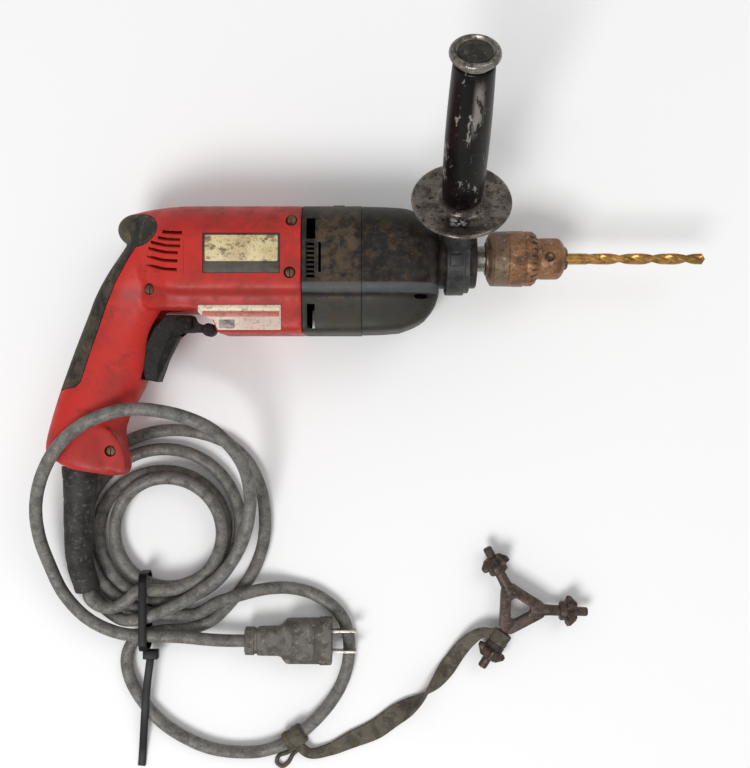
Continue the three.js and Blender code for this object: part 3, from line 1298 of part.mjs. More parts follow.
const cordLengths = [leadCurve, coilCurve, runCurve].map((curve) => curve.getLength().toFixed(0));
console.log(`cord length: ${cordLengths.join(' + ')} mm`);

add('cord_lead', cordTube(leadCurve, cord.leadSteps), finish.greyRubber);
add('cord_coil', coilTube(coilPoints), finish.greyRubber);
add('cord_run', cordTube(runCurve, cord.runSteps), finish.greyRubber);

// Plug

const plugShares = [
  [0, 0.58, 0.62], [0.12, 0.58, 0.62], [0.13, 0.5, 0.54], [0.15, 0.5, 0.54], [0.16, 0.6, 0.66],
  [0.41, 0.62, 0.68], [0.48, 0.94, 0.94], [0.86, 0.96, 0.97], [0.87, 1, 1], [0.99, 1, 1], [1, 0.97, 0.97],
];
const plugFace = plug.back + plug.length;
const plugSides = 12;
const plugRings = plugShares.map(([along, width, thickness]) => (
  Array.from({ length: plugSides }, (_, i) => {
    const angle = ((i + 0.5) / plugSides) * 2 * Math.PI;
    const square = (value) => Math.sign(value) * Math.abs(value) ** 0.5;
    return new THREE.Vector3(
      plug.back + along * plug.length,
      plug.height + square(Math.cos(angle)) * plug.halfWidth * width,
      plug.level + square(Math.sin(angle)) * plug.halfThickness * thickness,
    );
  })
));
const bladeSide = (side, margin) => {
  const middle = plug.height + (side * plug.bladeSpacing) / 2;
  return [middle - plug.bladeThickness / 2 - margin, middle + plug.bladeThickness / 2 + margin];
};
const bladeUp = (margin) => [
  plug.level - plug.bladeWidth / 2 - margin, plug.level + plug.bladeWidth / 2 + margin,
];
add('plug_body', cut(
  skin(plugRings),
  ...[-1, 1].map(
    (side) => block(
      [plugFace - plug.bladeRoot - gap, plugFace + overrun], bladeSide(side, gap), bladeUp(gap),
    ),
  ),
), finish.greyRubber);
for (const [i, side] of [[1, 1], [2, -1]]) {
  add(`plug_blade_${i}`, block(
    [plugFace - plug.bladeRoot, plugFace + plug.bladeLength], bladeSide(side, 0), bladeUp(0),
  ), finish.steel);
}

// Cable tie round the strands, with its long tail lying over the loop

function bandOutline(margin) {
  const [low, high] = [tie.from - margin, tie.to + margin];
  const [under, over] = [tie.bottom - margin, tie.top + margin];
  const corner = tie.corner + margin;
  const outline = [];
  const middles = [[
    high - corner, over - corner,
  ], [low + corner, over - corner], [low + corner, under + corner],
    [high - corner, under + corner]];
  middles.forEach(([across, up], quarter) => {
    for (let i = 0; i <= 3; i += 1) {
      const angle = ((quarter + i / 3) * Math.PI) / 2;
      outline.push([across + Math.cos(angle) * corner, up + Math.sin(angle) * corner]);
    }
  });
  return outline;
}
const tieSpan = [tie.at - tie.width / 2, tie.at + tie.width / 2];
const tieHead = [tie.at + tie.headShift, tie.from - tie.thickness, tie.headLevel];
const tailCurve = spline(tailRoute);
const tailSteps = 9;
const tailRings = Array.from({ length: tailSteps + 1 }, (_, i) => {
  const centre = tailCurve.getPointAt(i / tailSteps);
  const way = tailCurve.getTangentAt(i / tailSteps);
  const across = new THREE.Vector3().crossVectors(way, new THREE.Vector3(0, 0, 1)).normalize();
  const over = new THREE.Vector3().crossVectors(across, way);
  return [[-1, -1], [1, -1], [1, 1], [-1, 1]].map(([aside, up]) => centre.clone()
    .addScaledVector(across, (aside * tie.width) / 2)
    .addScaledVector(over, (up * tie.thickness) / 2));
});
add('cable_tie', join(
  cut(
    bar(bandOutline(tie.thickness), ...tieSpan),
    bar(bandOutline(0), tieSpan[0] - overrun, tieSpan[1] + overrun),
  ),
  block(
    [tieHead[0] - tie.headLength / 2, tieHead[0] + tie.headLength / 2],
    [tieHead[1] - tie.headHeight + tie.thickness, tieHead[1] + tie.thickness],
    [tieHead[2] - tie.headHeight / 2, tieHead[2] + tie.headHeight / 2],
  ),
  skin(tailRings),
), finish.carbon);

// Chuck key: three arms from a pierced web, each with a toothed head and a pilot

const keyMiddle = new THREE.Vector3(...key.centre, -tableHeight + key.rise);
const keyArms = [0, 1, 2].map((i) => {
  const angle = key.turn + (i / 3) * 2 * Math.PI;
  return new THREE.Vector3(Math.cos(angle), Math.sin(angle), 0);
});
const keyAt = (way, distance) => keyMiddle.clone().addScaledVector(way, distance);
const headTo = key.arm - keyHead.pilotLength;
const headFrom = headTo - keyHead.length;
function keyArm(way) {
  const place = new THREE.Matrix4().makeTranslation(...keyMiddle.toArray())
    .multiply(new THREE.Matrix4().makeRotationZ(Math.atan2(way.y, way.x)));
  const head = skin([
    toothedRing(headFrom, keyHead.radius, keyHead.radius - keyHead.notch, keyHead.teeth, 1),
    toothedRing(
      headTo, keyHead.pilotRadius + keyHead.rim, keyHead.pilotRadius + keyHead.rim / 2, keyHead.teeth, 1,
    ),
  ].map((points) => points.map((point) => point.applyMatrix4(place))));
  return join(
    head,
    rodBetween(
      keyAt(way, headFrom - keyHead.collar), keyAt(way, headFrom + keyHead.rim / 2), keyHead.backRadius,
      8,
    ),
    rodBetween(keyAt(way, 0), keyAt(way, headFrom), key.thickness / 2, 8),
    rodBetween(keyAt(way, headTo - overrun), keyAt(way, key.arm), keyHead.pilotRadius, 8),
  );
}
const webOutline = (radius) => keyArms.flatMap((way) => [0, 1].map((side) => {
  const angle = Math.atan2(way.y, way.x) + (side ? 1 : -1) * key.webSpread;
  return [keyMiddle.x + Math.cos(angle) * radius, keyMiddle.y + Math.sin(angle) * radius];
}));
const web = prism(
  webOutline(key.webRadius), keyMiddle.z - key.thickness / 2, keyMiddle.z + key.thickness / 2,
);
const webHole = prism(
  webOutline(key.holeRadius), keyMiddle.z - key.thickness, keyMiddle.z + key.thickness,
);
add('chuck_key', cut(join(web, ...keyArms.map(keyArm)), webHole), finish.steel);

// Rubber strap from a wrap round the cord to a sleeve round one arm of the key

function sleeve(centre, way, inner, outer, length, sides) {
  const from = centre.clone().addScaledVector(way, -length / 2);
  const to = centre.clone().addScaledVector(way, length / 2);
  return {
    shell: rodBetween(from, to, outer, sides),
    bore: rodBetween(
      from.clone().addScaledVector(way, -overrun), to.clone().addScaledVector(way, overrun), inner, sides,
    ),
  };
}
const wrapPlace = strap.wrapShare * cord.runSteps;
const wrapStep = Math.floor(wrapPlace);
const wrapFrom = runCurve.getPointAt(wrapStep / cord.runSteps);
const wrapTo = runCurve.getPointAt((wrapStep + 1) / cord.runSteps);
const wrapSides = 10;
const wrap = sleeve(
  wrapFrom.clone().lerp(wrapTo, wrapPlace - wrapStep), wrapTo.clone().sub(wrapFrom).normalize(),
  (cord.diameter / 2 + gap) / Math.cos(Math.PI / wrapSides), strap.wrapRadius, strap.wrapLength, wrapSides,
);
const holdAt = keyAt(keyArms[2], strap.holdAt);
const hold = sleeve(
  holdAt, keyArms[2], key.thickness / 2 + gap, key.thickness / 2 + gap + strap.halfThickness * 2,
  strap.holdLength, 10,
);
const strapCurve = spline(strapRoute.map(([x, y, z]) => [x, y, z]));
const strapSteps = 18;
const strapRings = Array.from({ length: strapSteps + 1 }, (_, i) => {
  const share = i / strapSteps;
  const centre = strapCurve.getPoint(share);
  const way = strapCurve.getTangent(share);
  const place = share * (strapRoute.length - 1);
  const before = Math.min(Math.floor(place), strapRoute.length - 2);
  const [, , , turnBefore, widthBefore] = strapRoute[before];
  const [, , , turnAfter, widthAfter] = strapRoute[before + 1];
  const roll = THREE.MathUtils.degToRad(turnBefore + (turnAfter - turnBefore) * (place - before));
  const half = strap.halfWidth * (widthBefore + (widthAfter - widthBefore) * (place - before));
  const level = new THREE.Vector3().crossVectors(way, new THREE.Vector3(0, 0, 1)).normalize();
  const over = new THREE.Vector3().crossVectors(level, way);
  const across = level.clone().multiplyScalar(Math.cos(roll)).addScaledVector(over, Math.sin(roll));
  const through = over.clone().multiplyScalar(Math.cos(roll)).addScaledVector(level, -Math.sin(roll));
  return [[-1, -1], [1, -1], [1, 1], [-1, 1]].map(([aside, up]) => centre.clone()
    .addScaledVector(across, aside * half)
    .addScaledVector(through, up * strap.halfThickness));
});
const tailEnd = spline(loopRoute);
const loopStations = Array.from(
  { length: strap.loopSteps + 1 }, (_, i) => [i / strap.loopSteps, strap.loopRadius],
);
add('key_strap', cut(
  join(wrap.shell, hold.shell, skin(strapRings), skin(tubeRings(tailEnd, loopStations, strap.loopSides))),
  wrap.bore, hold.bore,
), finish.darkRubber);

// The drill is moved so that the middle of its box, without the cord, stands on the origin
drill.position.set(frameShift.along, frameShift.up, tableHeight);

export default drill;
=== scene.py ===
import json
import math

import bmesh
import bpy
from bpy.props import FloatProperty, FloatVectorProperty, IntProperty, PointerProperty
from bpy.types import Operator, Panel, PropertyGroup
from mathutils import Matrix, Vector


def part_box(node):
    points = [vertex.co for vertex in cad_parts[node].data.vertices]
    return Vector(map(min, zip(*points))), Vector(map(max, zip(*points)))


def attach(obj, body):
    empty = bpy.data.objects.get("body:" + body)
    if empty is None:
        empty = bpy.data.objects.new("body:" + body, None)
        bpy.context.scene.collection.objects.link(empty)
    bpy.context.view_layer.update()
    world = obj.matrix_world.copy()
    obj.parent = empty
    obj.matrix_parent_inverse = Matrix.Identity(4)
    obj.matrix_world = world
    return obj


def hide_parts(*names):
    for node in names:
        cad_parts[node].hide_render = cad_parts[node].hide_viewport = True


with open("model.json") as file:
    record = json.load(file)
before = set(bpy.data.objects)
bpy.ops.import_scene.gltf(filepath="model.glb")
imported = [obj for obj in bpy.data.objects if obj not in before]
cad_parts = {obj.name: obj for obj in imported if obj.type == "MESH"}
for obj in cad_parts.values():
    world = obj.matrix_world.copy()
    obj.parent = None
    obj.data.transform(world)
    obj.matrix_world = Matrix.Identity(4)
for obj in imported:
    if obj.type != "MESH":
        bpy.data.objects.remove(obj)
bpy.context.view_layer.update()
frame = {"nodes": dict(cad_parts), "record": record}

bl_info = {
    "name": "Hammer Drill",
    "version": (1, 0, 0),
    "blender": (4, 5, 0),
    "location": "View3D > Sidebar > Drill",
    "description": "Dresses a packed hammer drill with its housing, handle, chuck, cord and finishes",
    "category": "Object",
}

MM = 0.001
# The drill's own place: the joint of housing and gear case, on the spindle axis
JOINT_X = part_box("housing_right")[1].x
SPINDLE_MIDDLE = (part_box("spindle")[0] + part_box("spindle")[1]) / 2
WELD = 1e-7
UP = Vector((0, 0, 1))
# How far a cutter reaches past the surface that it opens, in millimetres
OVERRUN = 2


def place(along, up, out):
    """A point in millimetres from the joint on the spindle axis, as a point of the frame."""
    return Vector((JOINT_X + along * MM, SPINDLE_MIDDLE.y + up * MM, SPINDLE_MIDDLE.z + out * MM))


# Settings


def length(name, description, default, smallest=0.0):
    return FloatProperty(
        name=name, description=description, default=default, min=smallest, unit="LENGTH", precision=4,
    )


def colour(name, description, red, green, blue):
    return FloatVectorProperty(
        name=name, description=description, default=(red / 255, green / 255, blue / 255),
        subtype="COLOR_GAMMA", size=3, min=0, max=1,
    )


def power(name, description, default):
    return FloatProperty(name=name, description=description, default=default, unit="POWER")


class DrillHousingSettings(PropertyGroup):
    top: length("Top", "Height of the barrel over the spindle axis", 0.0299)
    bottom: length("Keel", "Depth of the keel under the spindle axis", 0.0456)
    half_width: length("Half width", "Half of the barrel's width", 0.036)
    handle_back: length("Handle back", "Reach of the handle behind the joint", 0.1543)
    handle_drop: length("Handle drop", "Drop of the handle under the spindle axis", 0.13)
    wall: length("Wall", "Thickness of the moulded walls", 0.003)
    seam: length("Seam", "Width of the line between two pieces", 0.00035)
    voxel: length("Voxel", "Size of the grid that fuses barrel and handle", 0.0009, 0.0003)


class DrillChuckSettings(PropertyGroup):
    sleeve_radius: length("Sleeve radius", "Radius of the toothed sleeve", 0.01675)
    front_radius: length("Body radius", "Radius of the chuck body in front of the sleeve", 0.01235)
    teeth: IntProperty(name="Teeth", description="Bevel teeth round the sleeve", default=24, min=6)
    bit_radius: length("Bit radius", "Radius of the twist bit", 0.00335)
    bit_lead: length("Bit lead", "Length of one turn of the flutes", 0.04)


class DrillSideHandleSettings(PropertyGroup):
    flange_radius: length("Flange radius", "Radius of the saucer flange", 0.0285)
    grip_radius: length("Grip radius", "Largest radius of the side grip", 0.012)
    cap_radius: length("Cap radius", "Radius of the end cap's ring", 0.013)


class DrillCordSettings(PropertyGroup):
    diameter: length("Diameter", "Diameter of the cord's jacket", 0.0078)
    coil_radius: length("Coil radius", "Radius that the shares of the coil are taken of", 0.0356)
    tie_width: length("Tie width", "Width of the cable tie", 0.0048)
    strap_width: length("Strap width", "Width of the key strap", 0.0126)


class DrillFinishSettings(PropertyGroup):
    red: colour("Housing", "Moulded red plastic", 196, 44, 37)
    rubber: colour("Grip rubber", "Soft rear grip", 76, 69, 58)
    case: colour("Gear case", "Dusty cast gear case", 34, 31, 27)
    rust: colour("Chuck", "Rust stain on the chuck", 146, 103, 70)
    gold: colour("Bit", "Gold coating of the bit", 190, 144, 78)
    cord: colour("Cord", "Jacket of the cord", 118, 115, 110)


class DrillStageSettings(PropertyGroup):
    camera_height: length("Camera height", "Height of the camera over the table", 0.7)
    camera_x: length("Camera X", "Place of the camera along the drill", -0.001, -1.0)
    camera_y: length("Camera Y", "Place of the camera across the drill", -0.05875, -1.0)
    lens: FloatProperty(name="Lens", description="Focal length on a 36 mm frame", default=51.84, min=10)
    key_power: power("Key light", "Power of the key light", 62.0)
    fill_power: power("Fill light", "Power of the fill light", 14.0)


# Mesh helpers: every point is in millimetres from the joint on the spindle axis


def turn_angles(count, shift=0.0):
    """Evenly spaced angles of one whole turn."""
    return [2 * math.pi * (k + shift) / count for k in range(count)]


def ways_along(points):
    """The direction of a path at each of its points."""
    last = len(points) - 1
    return [(points[min(i + 1, last)] - points[max(i - 1, 0)]).normalized() for i in range(last + 1)]


def out_at(x, y):
    """Turns a form's X axis up toward the camera, at a place on the drill."""
    return Matrix(((0, 0, 1, x), (0, 1, 0, y), (1, 0, 0, 0), (0, 0, 0, 1)))


def new_piece(name, points, faces):
    mesh = bpy.data.meshes.new(name)
    mesh.from_pydata([place(*point) for point in points], [], faces)
    working = bmesh.new()
    working.from_mesh(mesh)
    bmesh.ops.remove_doubles(working, verts=working.verts, dist=WELD)
    bmesh.ops.recalc_face_normals(working, faces=working.faces)
    working.to_mesh(mesh)
    working.free()
    piece = bpy.data.objects.new(name, mesh)
    bpy.context.scene.collection.objects.link(piece)
    return piece


def skin(name, rings, closed=False):
    """A skin over rings of points, with flat ends, or closed into a loop."""
    count = len(rings[0])
    points = [point for ring in rings for point in ring]
    pairs = list(zip(range(len(rings)), range(1, len(rings))))
    if closed:
        pairs.append((len(rings) - 1, 0))
    faces = [
        (a * count + j, a * count + (j + 1) % count, b * count + (j + 1) % count, b * count + j)
        for a, b in pairs for j in range(count)
    ]
    if not closed:
        faces.append(tuple(reversed(range(count))))
        faces.append(tuple(range((len(rings) - 1) * count, len(rings) * count)))
    return new_piece(name, points, faces)


def prism(name, outline, low, high, matrix=None):
    """An outline of (along, up) pairs drawn out sideways."""
    rings = [[Vector((x, y, z)) for x, y in outline] for z in (low, high)]
    return skin(name, [[matrix @ point if matrix else point for point in ring] for ring in rings])


def block(name, along, up, out, matrix=None):
    outline = [(along[0], up[0]), (along[1], up[0]), (along[1], up[1]), (along[0], up[1])]
    return prism(name, outline, out[0], out[1], matrix)


def revolve(name, profile, sides=96, matrix=None, closed=False):
    """(along, radius) pairs turned about the X axis."""
    rings = []
    for along, radius in profile:
        ring = [Vector((along, radius * math.cos(a), radius * math.sin(a))) for a in turn_angles(sides)]
        rings.append([matrix @ point for point in ring] if matrix else ring)
    return skin(name, rings, closed)


def drum(name, low, high, radius, sides, matrix=None):
    """A plain cylinder between two places along the X axis."""
    return revolve(name, [(low, 0), (low, radius), (high, radius), (high, 0)], sides, matrix)


def oval(centre, radii, sides):
    (x, y), (wide, tall) = centre, radii
    return [(x + wide * math.cos(a), y + tall * math.sin(a)) for a in turn_angles(sides)]


def tube(name, points, radii, sides=24):
    """A round tube square to a path, with a radius at each of its points."""
    rings = []
    side = Vector((1, 0, 0))
    for point, way, radius in zip(points, ways_along(points), radii):
        side = (side - way * side.dot(way)).normalized()
        over = way.cross(side)
        rings.append([
            point + (side * math.cos(a) + over * math.sin(a)) * radius for a in turn_angles(sides)
        ])
    return skin(name, rings)


def ellipsoid(name, centre, radii, sides=48, rings=24):
    stations = []
    for i in range(rings + 1):
        polar = math.pi * i / rings
        stations.append([
            Vector((
                centre[0] + radii[0] * math.cos(polar),
                centre[1] + radii[1] * math.sin(polar) * math.cos(turn),
                centre[2] + radii[2] * math.sin(polar) * math.sin(turn),
            )) for turn in turn_angles(sides)
        ])
    return skin(name, stations)


def rounded(outline, radius, steps=4):
    """A closed outline with each corner rounded."""
    soft = []
    count = len(outline)
    for i, corner in enumerate(outline):
        here = Vector(corner)
        before = Vector(outline[i - 1]) - here
        after = Vector(outline[(i + 1) % count]) - here
        start = here + before.normalized() * min(radius, before.length * 0.45)
        end = here + after.normalized() * min(radius, after.length * 0.45)
        for step in range(steps + 1):
            t = step / steps
            soft.append(tuple(start * (1 - t) ** 2 + here * 2 * t * (1 - t) + end * t * t))
    return soft


def smooth_path(points, steps=12):
    """Points on the centripetal curve through the given points."""
    given = [Vector(point) for point in points]
    ends = [given[0] * 2 - given[1], *given, given[-1] * 2 - given[-2]]
    path = []
    for i in range(len(given) - 1):
        p0, p1, p2, p3 = ends[i:i + 4]
        d1 = max((p2 - p1).length ** 0.5, 1e-4)
        d0 = max((p1 - p0).length ** 0.5, 1e-4)
        d2 = max((p3 - p2).length ** 0.5, 1e-4)
        t1 = ((p1 - p0) / d0 - (p2 - p0) / (d0 + d1) + (p2 - p1) / d1) * d1
        t2 = ((p2 - p1) / d1 - (p3 - p1) / (d1 + d2) + (p3 - p2) / d2) * d1
        for step in range(steps):
            t = step / steps
            path.append(
                p1 + t1 * t + (p2 * 3 - p1 * 3 - t1 * 2 - t2) * t * t
                + (p1 * 2 - p2 * 2 + t1 + t2) * t ** 3
            )
    path.append(given[-1])
    return path


def apply_modifiers(piece):
    depsgraph = bpy.context.evaluated_depsgraph_get()
    mesh = bpy.data.meshes.new_from_object(piece.evaluated_get(depsgraph))
    old = piece.data
    piece.modifiers.clear()
    piece.data = mesh
    bpy.data.meshes.remove(old)


def combine(piece, others, operation):
    """Joins, cuts or keeps the common part with each of the others, which are used up."""
    for other in others:
        step = piece.modifiers.new("combine", "BOOLEAN")
        step.operation = operation
        step.solver = "MANIFOLD"
        step.object = other
    apply_modifiers(piece)
    for other in others:
        bpy.data.objects.remove(other)
    if not piece.data.polygons:
        raise RuntimeError(f"{piece.name} lost its mesh")
    return piece


def join(piece, *others):
    return combine(piece, others, "UNION")


def cut(piece, *others):
    return combine(piece, others, "DIFFERENCE")


def common(piece, *others):
    return combine(piece, others, "INTERSECT")


def copy_of(piece, name):
    twin = bpy.data.objects.new(name, piece.data.copy())
    bpy.context.scene.collection.objects.link(twin)
    return twin


def soften(piece, width, segments=2, angle=35):
    """Rounds the edges that turn by more than the angle, in degrees."""
    step = piece.modifiers.new("soften", "BEVEL")
    step.width = width * MM
    step.segments = segments
    step.limit_method = "ANGLE"
    step.angle_limit = math.radians(angle)
    step.use_clamp_overlap = True
    apply_modifiers(piece)
    return piece


def finish(piece, body, material, nodes=(), angle=40):
    """Shades a piece, gives it its material and lets it ride on its body."""
    piece.data.materials.clear()
    piece.data.materials.append(material)
    piece.data.shade_smooth()
    piece.data.set_sharp_from_angle(angle=math.radians(angle))
    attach(piece, body)
    if nodes:
        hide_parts(*nodes)
    return piece


def repaint(node, material, edge=0.0):
    """Gives a node of the frame its finish and, where asked, a small rounding of its edges."""
    piece = frame["nodes"][node]
    piece.data.materials.clear()
    piece.data.materials.append(material)
    if edge:
        weld = piece.modifiers.new("weld", "WELD")
        weld.merge_threshold = 1e-5
        step = piece.modifiers.new("edges", "BEVEL")
        step.width = edge * MM
        step.segments = 2
        step.limit_method = "ANGLE"
        step.angle_limit = math.radians(38)


# Finishes: sizes are in millimetres and colours are screen colours of 0 to 255 a channel


def paint(red, green, blue):
    """A screen colour of 0 to 255 a channel as the shader's linear colour."""
    def linear(value):
        share = value / 255
        return share / 12.92 if share <= 0.04045 else ((share + 0.055) / 1.055) ** 2.4
    return (linear(red), linear(green), linear(blue), 1)


class Finish:
    """A procedural material: a base colour with layers of noise, wear and relief over it."""

    def __init__(self, name, base, roughness, metallic=0.0, coat=0.0, gloss=0.5):
        self.material = bpy.data.materials.new(name)
        self.material.use_nodes = True
        self.tree = self.material.node_tree
        self.tree.nodes.clear()
        self.shader = self.tree.nodes.new("ShaderNodeBsdfPrincipled")
        output = self.tree.nodes.new("ShaderNodeOutputMaterial")
        self.link(self.shader.outputs["BSDF"], output.inputs["Surface"])
        self.shader.inputs["Metallic"].default_value = metallic
        self.shader.inputs["Coat Weight"].default_value = coat
        self.shader.inputs["Specular IOR Level"].default_value = gloss
        self.shader.inputs["Coat Roughness"].default_value = 0.12
        self.place = self.tree.nodes.new("ShaderNodeTexCoord").outputs["Object"]
        self.base = paint(*base)
        self.roughness = roughness
        self.relief = None

    def link(self, source, target):
        self.tree.links.new(source, target)

    def noise(self, size, detail=5.0, stretch=(1, 1, 1), distortion=0.0, rough=0.6):
        """Noise whose features are about the given size in millimetres."""
        mapping = self.tree.nodes.new("ShaderNodeMapping")
        mapping.inputs["Scale"].default_value = [share / (size * MM) for share in stretch]
        self.link(self.place, mapping.inputs["Vector"])
        noise = self.tree.nodes.new("ShaderNodeTexNoise")
        noise.inputs["Scale"].default_value = 1.0
        noise.inputs["Detail"].default_value = detail
        noise.inputs["Roughness"].default_value = rough
        noise.inputs["Distortion"].default_value = distortion
        self.link(mapping.outputs["Vector"], noise.inputs["Vector"])
        return noise.outputs["Fac"]

    def between(self, source, low, high, to_low=0.0, to_high=1.0):
        node = self.tree.nodes.new("ShaderNodeMapRange")
        node.interpolation_type = "SMOOTHSTEP"
        node.inputs["From Min"].default_value = low
        node.inputs["From Max"].default_value = high
        node.inputs["To Min"].default_value = to_low
        node.inputs["To Max"].default_value = to_high
        self.link(source, node.inputs["Value"])
        return node.outputs["Result"]

    def times(self, first, second):
        node = self.tree.nodes.new("ShaderNodeMath")
        node.operation = "MULTIPLY"
        self.link(first, node.inputs[0])
        if isinstance(second, (int, float)):
            node.inputs[1].default_value = second
        else:
            self.link(second, node.inputs[1])
        return node.outputs["Value"]

    def span(self, axis, low, high, blur):
        """One between two places along an axis, in millimetres from the joint, fading over the blur."""
        split = self.tree.nodes.new("ShaderNodeSeparateXYZ")
        self.link(self.place, split.inputs["Vector"])
        source = split.outputs["XYZ".index(axis)]
        zero = (JOINT_X, SPINDLE_MIDDLE.y, SPINDLE_MIDDLE.z)["XYZ".index(axis)]
        rise = self.between(source, zero + (low - blur) * MM, zero + (low + blur) * MM)
        fall = self.between(source, zero + (high - blur) * MM, zero + (high + blur) * MM, 1.0, 0.0)
        return self.times(rise, fall)

    def layer(self, mask, tint, strength=1.0):
        """Paints a colour over what is there, where the mask is one."""
        mix = self.tree.nodes.new("ShaderNodeMix")
        mix.data_type = "RGBA"
        if strength != 1.0:
            mask = self.times(mask, strength)
        self.link(mask, mix.inputs["Factor"])
        if isinstance(self.base, tuple):
            mix.inputs["A"].default_value = self.base
        else:
            self.link(self.base, mix.inputs["A"])
        mix.inputs["B"].default_value = paint(*tint)
        self.base = mix.outputs["Result"]
        return self

    def rough(self, mask, value):
        """Moves the roughness to a value where the mask is one."""
        mix = self.tree.nodes.new("ShaderNodeMix")
        mix.data_type = "FLOAT"
        self.link(mask, mix.inputs["Factor"])
        if isinstance(self.roughness, float):
            mix.inputs["A"].default_value = self.roughness
        else:
            self.link(self.roughness, mix.inputs["A"])
        mix.inputs["B"].default_value = value
        self.roughness = mix.outputs["Result"]
        return self

    def raise_by(self, source, depth):
        """Relief of a depth in millimetres."""
        bump = self.tree.nodes.new("ShaderNodeBump")
        bump.inputs["Distance"].default_value = depth * MM
        bump.inputs["Strength"].default_value = 1.0
        self.link(source, bump.inputs["Height"])
        if self.relief is not None:
            self.link(self.relief, bump.inputs["Normal"])
        self.relief = bump.outputs["Normal"]
        return self

    def done(self):
        if isinstance(self.base, tuple):
            self.shader.inputs["Base Color"].default_value = self.base
        else:
            self.link(self.base, self.shader.inputs["Base Color"])
        if isinstance(self.roughness, float):
            self.shader.inputs["Roughness"].default_value = self.roughness
        else:
            self.link(self.roughness, self.shader.inputs["Roughness"])
        if self.relief is not None:
            self.link(self.relief, self.shader.inputs["Normal"])
        return self.material


def screen(values):
    """A colour of the settings as screen values of 0 to 255."""
    return tuple(value * 255 for value in values)


def red_plastic():
    look = Finish("red_plastic", screen(bpy.context.scene.drill_finish.red), 0.42, gloss=0.35)
    broad = look.noise(34, 4, distortion=0.2)
    patches = look.noise(11, 7, distortion=0.25, rough=0.7)
    scuffs = look.noise(3.0, 8, stretch=(1, 0.3, 1), distortion=0.25, rough=0.75)
    specks = look.noise(0.9, 3)
    look.layer(look.between(broad, 0.42, 0.66), (164, 40, 33))
    look.layer(look.between(patches, 0.5, 0.72), (128, 38, 30), 0.6)
    look.layer(look.between(scuffs, 0.6, 0.74), (206, 84, 72), 0.45)
    look.layer(look.between(specks, 0.66, 0.76), (84, 36, 28), 0.55)
    # A darker red band on and under the ridge's lower edge: painted shade below the ridge
    look.layer(look.span("Y", -26, -19.5, 2.0), (138, 34, 28), 0.45)
    look.layer(look.times(look.span("X", -60, 6, 12), look.between(patches, 0.38, 0.6)), (140, 48, 38), 0.55)
    look.rough(look.between(patches, 0.4, 0.7), 0.62)
    return look.raise_by(look.noise(0.5, 3), 0.03).done()


def grip_rubber():
    look = Finish("grip_rubber", screen(bpy.context.scene.drill_finish.rubber), 0.7, gloss=0.25)
    broad = look.noise(13, 6, distortion=0.25)
    wear = look.noise(5, 8, stretch=(1, 0.45, 1), distortion=0.25, rough=0.72)
    look.layer(look.between(broad, 0.42, 0.6), (42, 39, 34))
    look.layer(look.between(wear, 0.52, 0.7), (124, 106, 80), 0.7)
    look.layer(look.between(look.noise(1.4, 6), 0.55, 0.7), (28, 26, 23), 0.7)
    look.rough(look.between(broad, 0.4, 0.6), 0.55)
    return look.raise_by(look.noise(0.7, 4), 0.08).done()


def dusty_case():
    look = Finish("dusty_case", screen(bpy.context.scene.drill_finish.case), 0.5, gloss=0.3)
    broad = look.noise(22, 6, distortion=0.2)
    dust = look.noise(6, 9, distortion=0.25, rough=0.74)
    specks = look.noise(1.2, 4)
    look.layer(look.between(broad, 0.4, 0.58), (20, 18, 16))
    look.layer(look.between(dust, 0.44, 0.7), (82, 66, 48), 0.7)
    look.layer(look.times(look.between(dust, 0.36, 0.6), look.span("X", 9, 33, 3)), (92, 76, 56), 0.6)
    look.layer(look.between(specks, 0.66, 0.74), (150, 138, 118), 0.6)
    # A pale grey band along the ridge: partly the ridge's cleaner grey, partly painted highlight where its
    # facet catches the light
    look.layer(look.span("Y", -22.6, -17.0, 0.7), (84, 86, 88), 0.75)
    # A dark line under the ridge: painted shade on its steep underside
    look.layer(look.span("Y", -25.0, -23.2, 0.6), (18, 17, 16), 0.8)
    look.layer(look.span("Y", -50, -26, 1.0), (50, 50, 43), 0.7)
    look.rough(look.between(dust, 0.45, 0.7), 0.72)
    return look.raise_by(look.noise(0.9, 5), 0.06).done()


def clamp_metal():
    look = Finish("clamp_metal", (56, 57, 57), 0.45, 0.2, gloss=0.35)
    dust = look.noise(4, 8, distortion=0.25)
    look.layer(look.between(dust, 0.5, 0.66), (96, 92, 84), 0.65)
    look.layer(look.between(look.noise(8, 5), 0.48, 0.62), (30, 30, 29), 0.85)
    return look.raise_by(look.noise(1.0, 4), 0.05).done()


def rusty_chuck():
    look = Finish("rusty_chuck", screen(bpy.context.scene.drill_finish.rust), 0.48, 0.35)
    broad = look.noise(9, 6, stretch=(0.6, 1, 1), distortion=0.25)
    fine = look.noise(1.9, 8, distortion=0.25, rough=0.72)
    look.layer(look.span("X", 107, 121, 1.5), (112, 98, 80), 0.85)
    look.layer(look.between(broad, 0.44, 0.6), (98, 70, 50), 0.85)
    look.layer(look.between(fine, 0.5, 0.64), (66, 46, 32), 0.75)
    look.layer(look.between(look.noise(3.0, 7, distortion=0.2), 0.57, 0.7), (200, 174, 146), 0.55)
    look.rough(look.between(fine, 0.45, 0.6), 0.36)
    return look.raise_by(fine, 0.09).done()


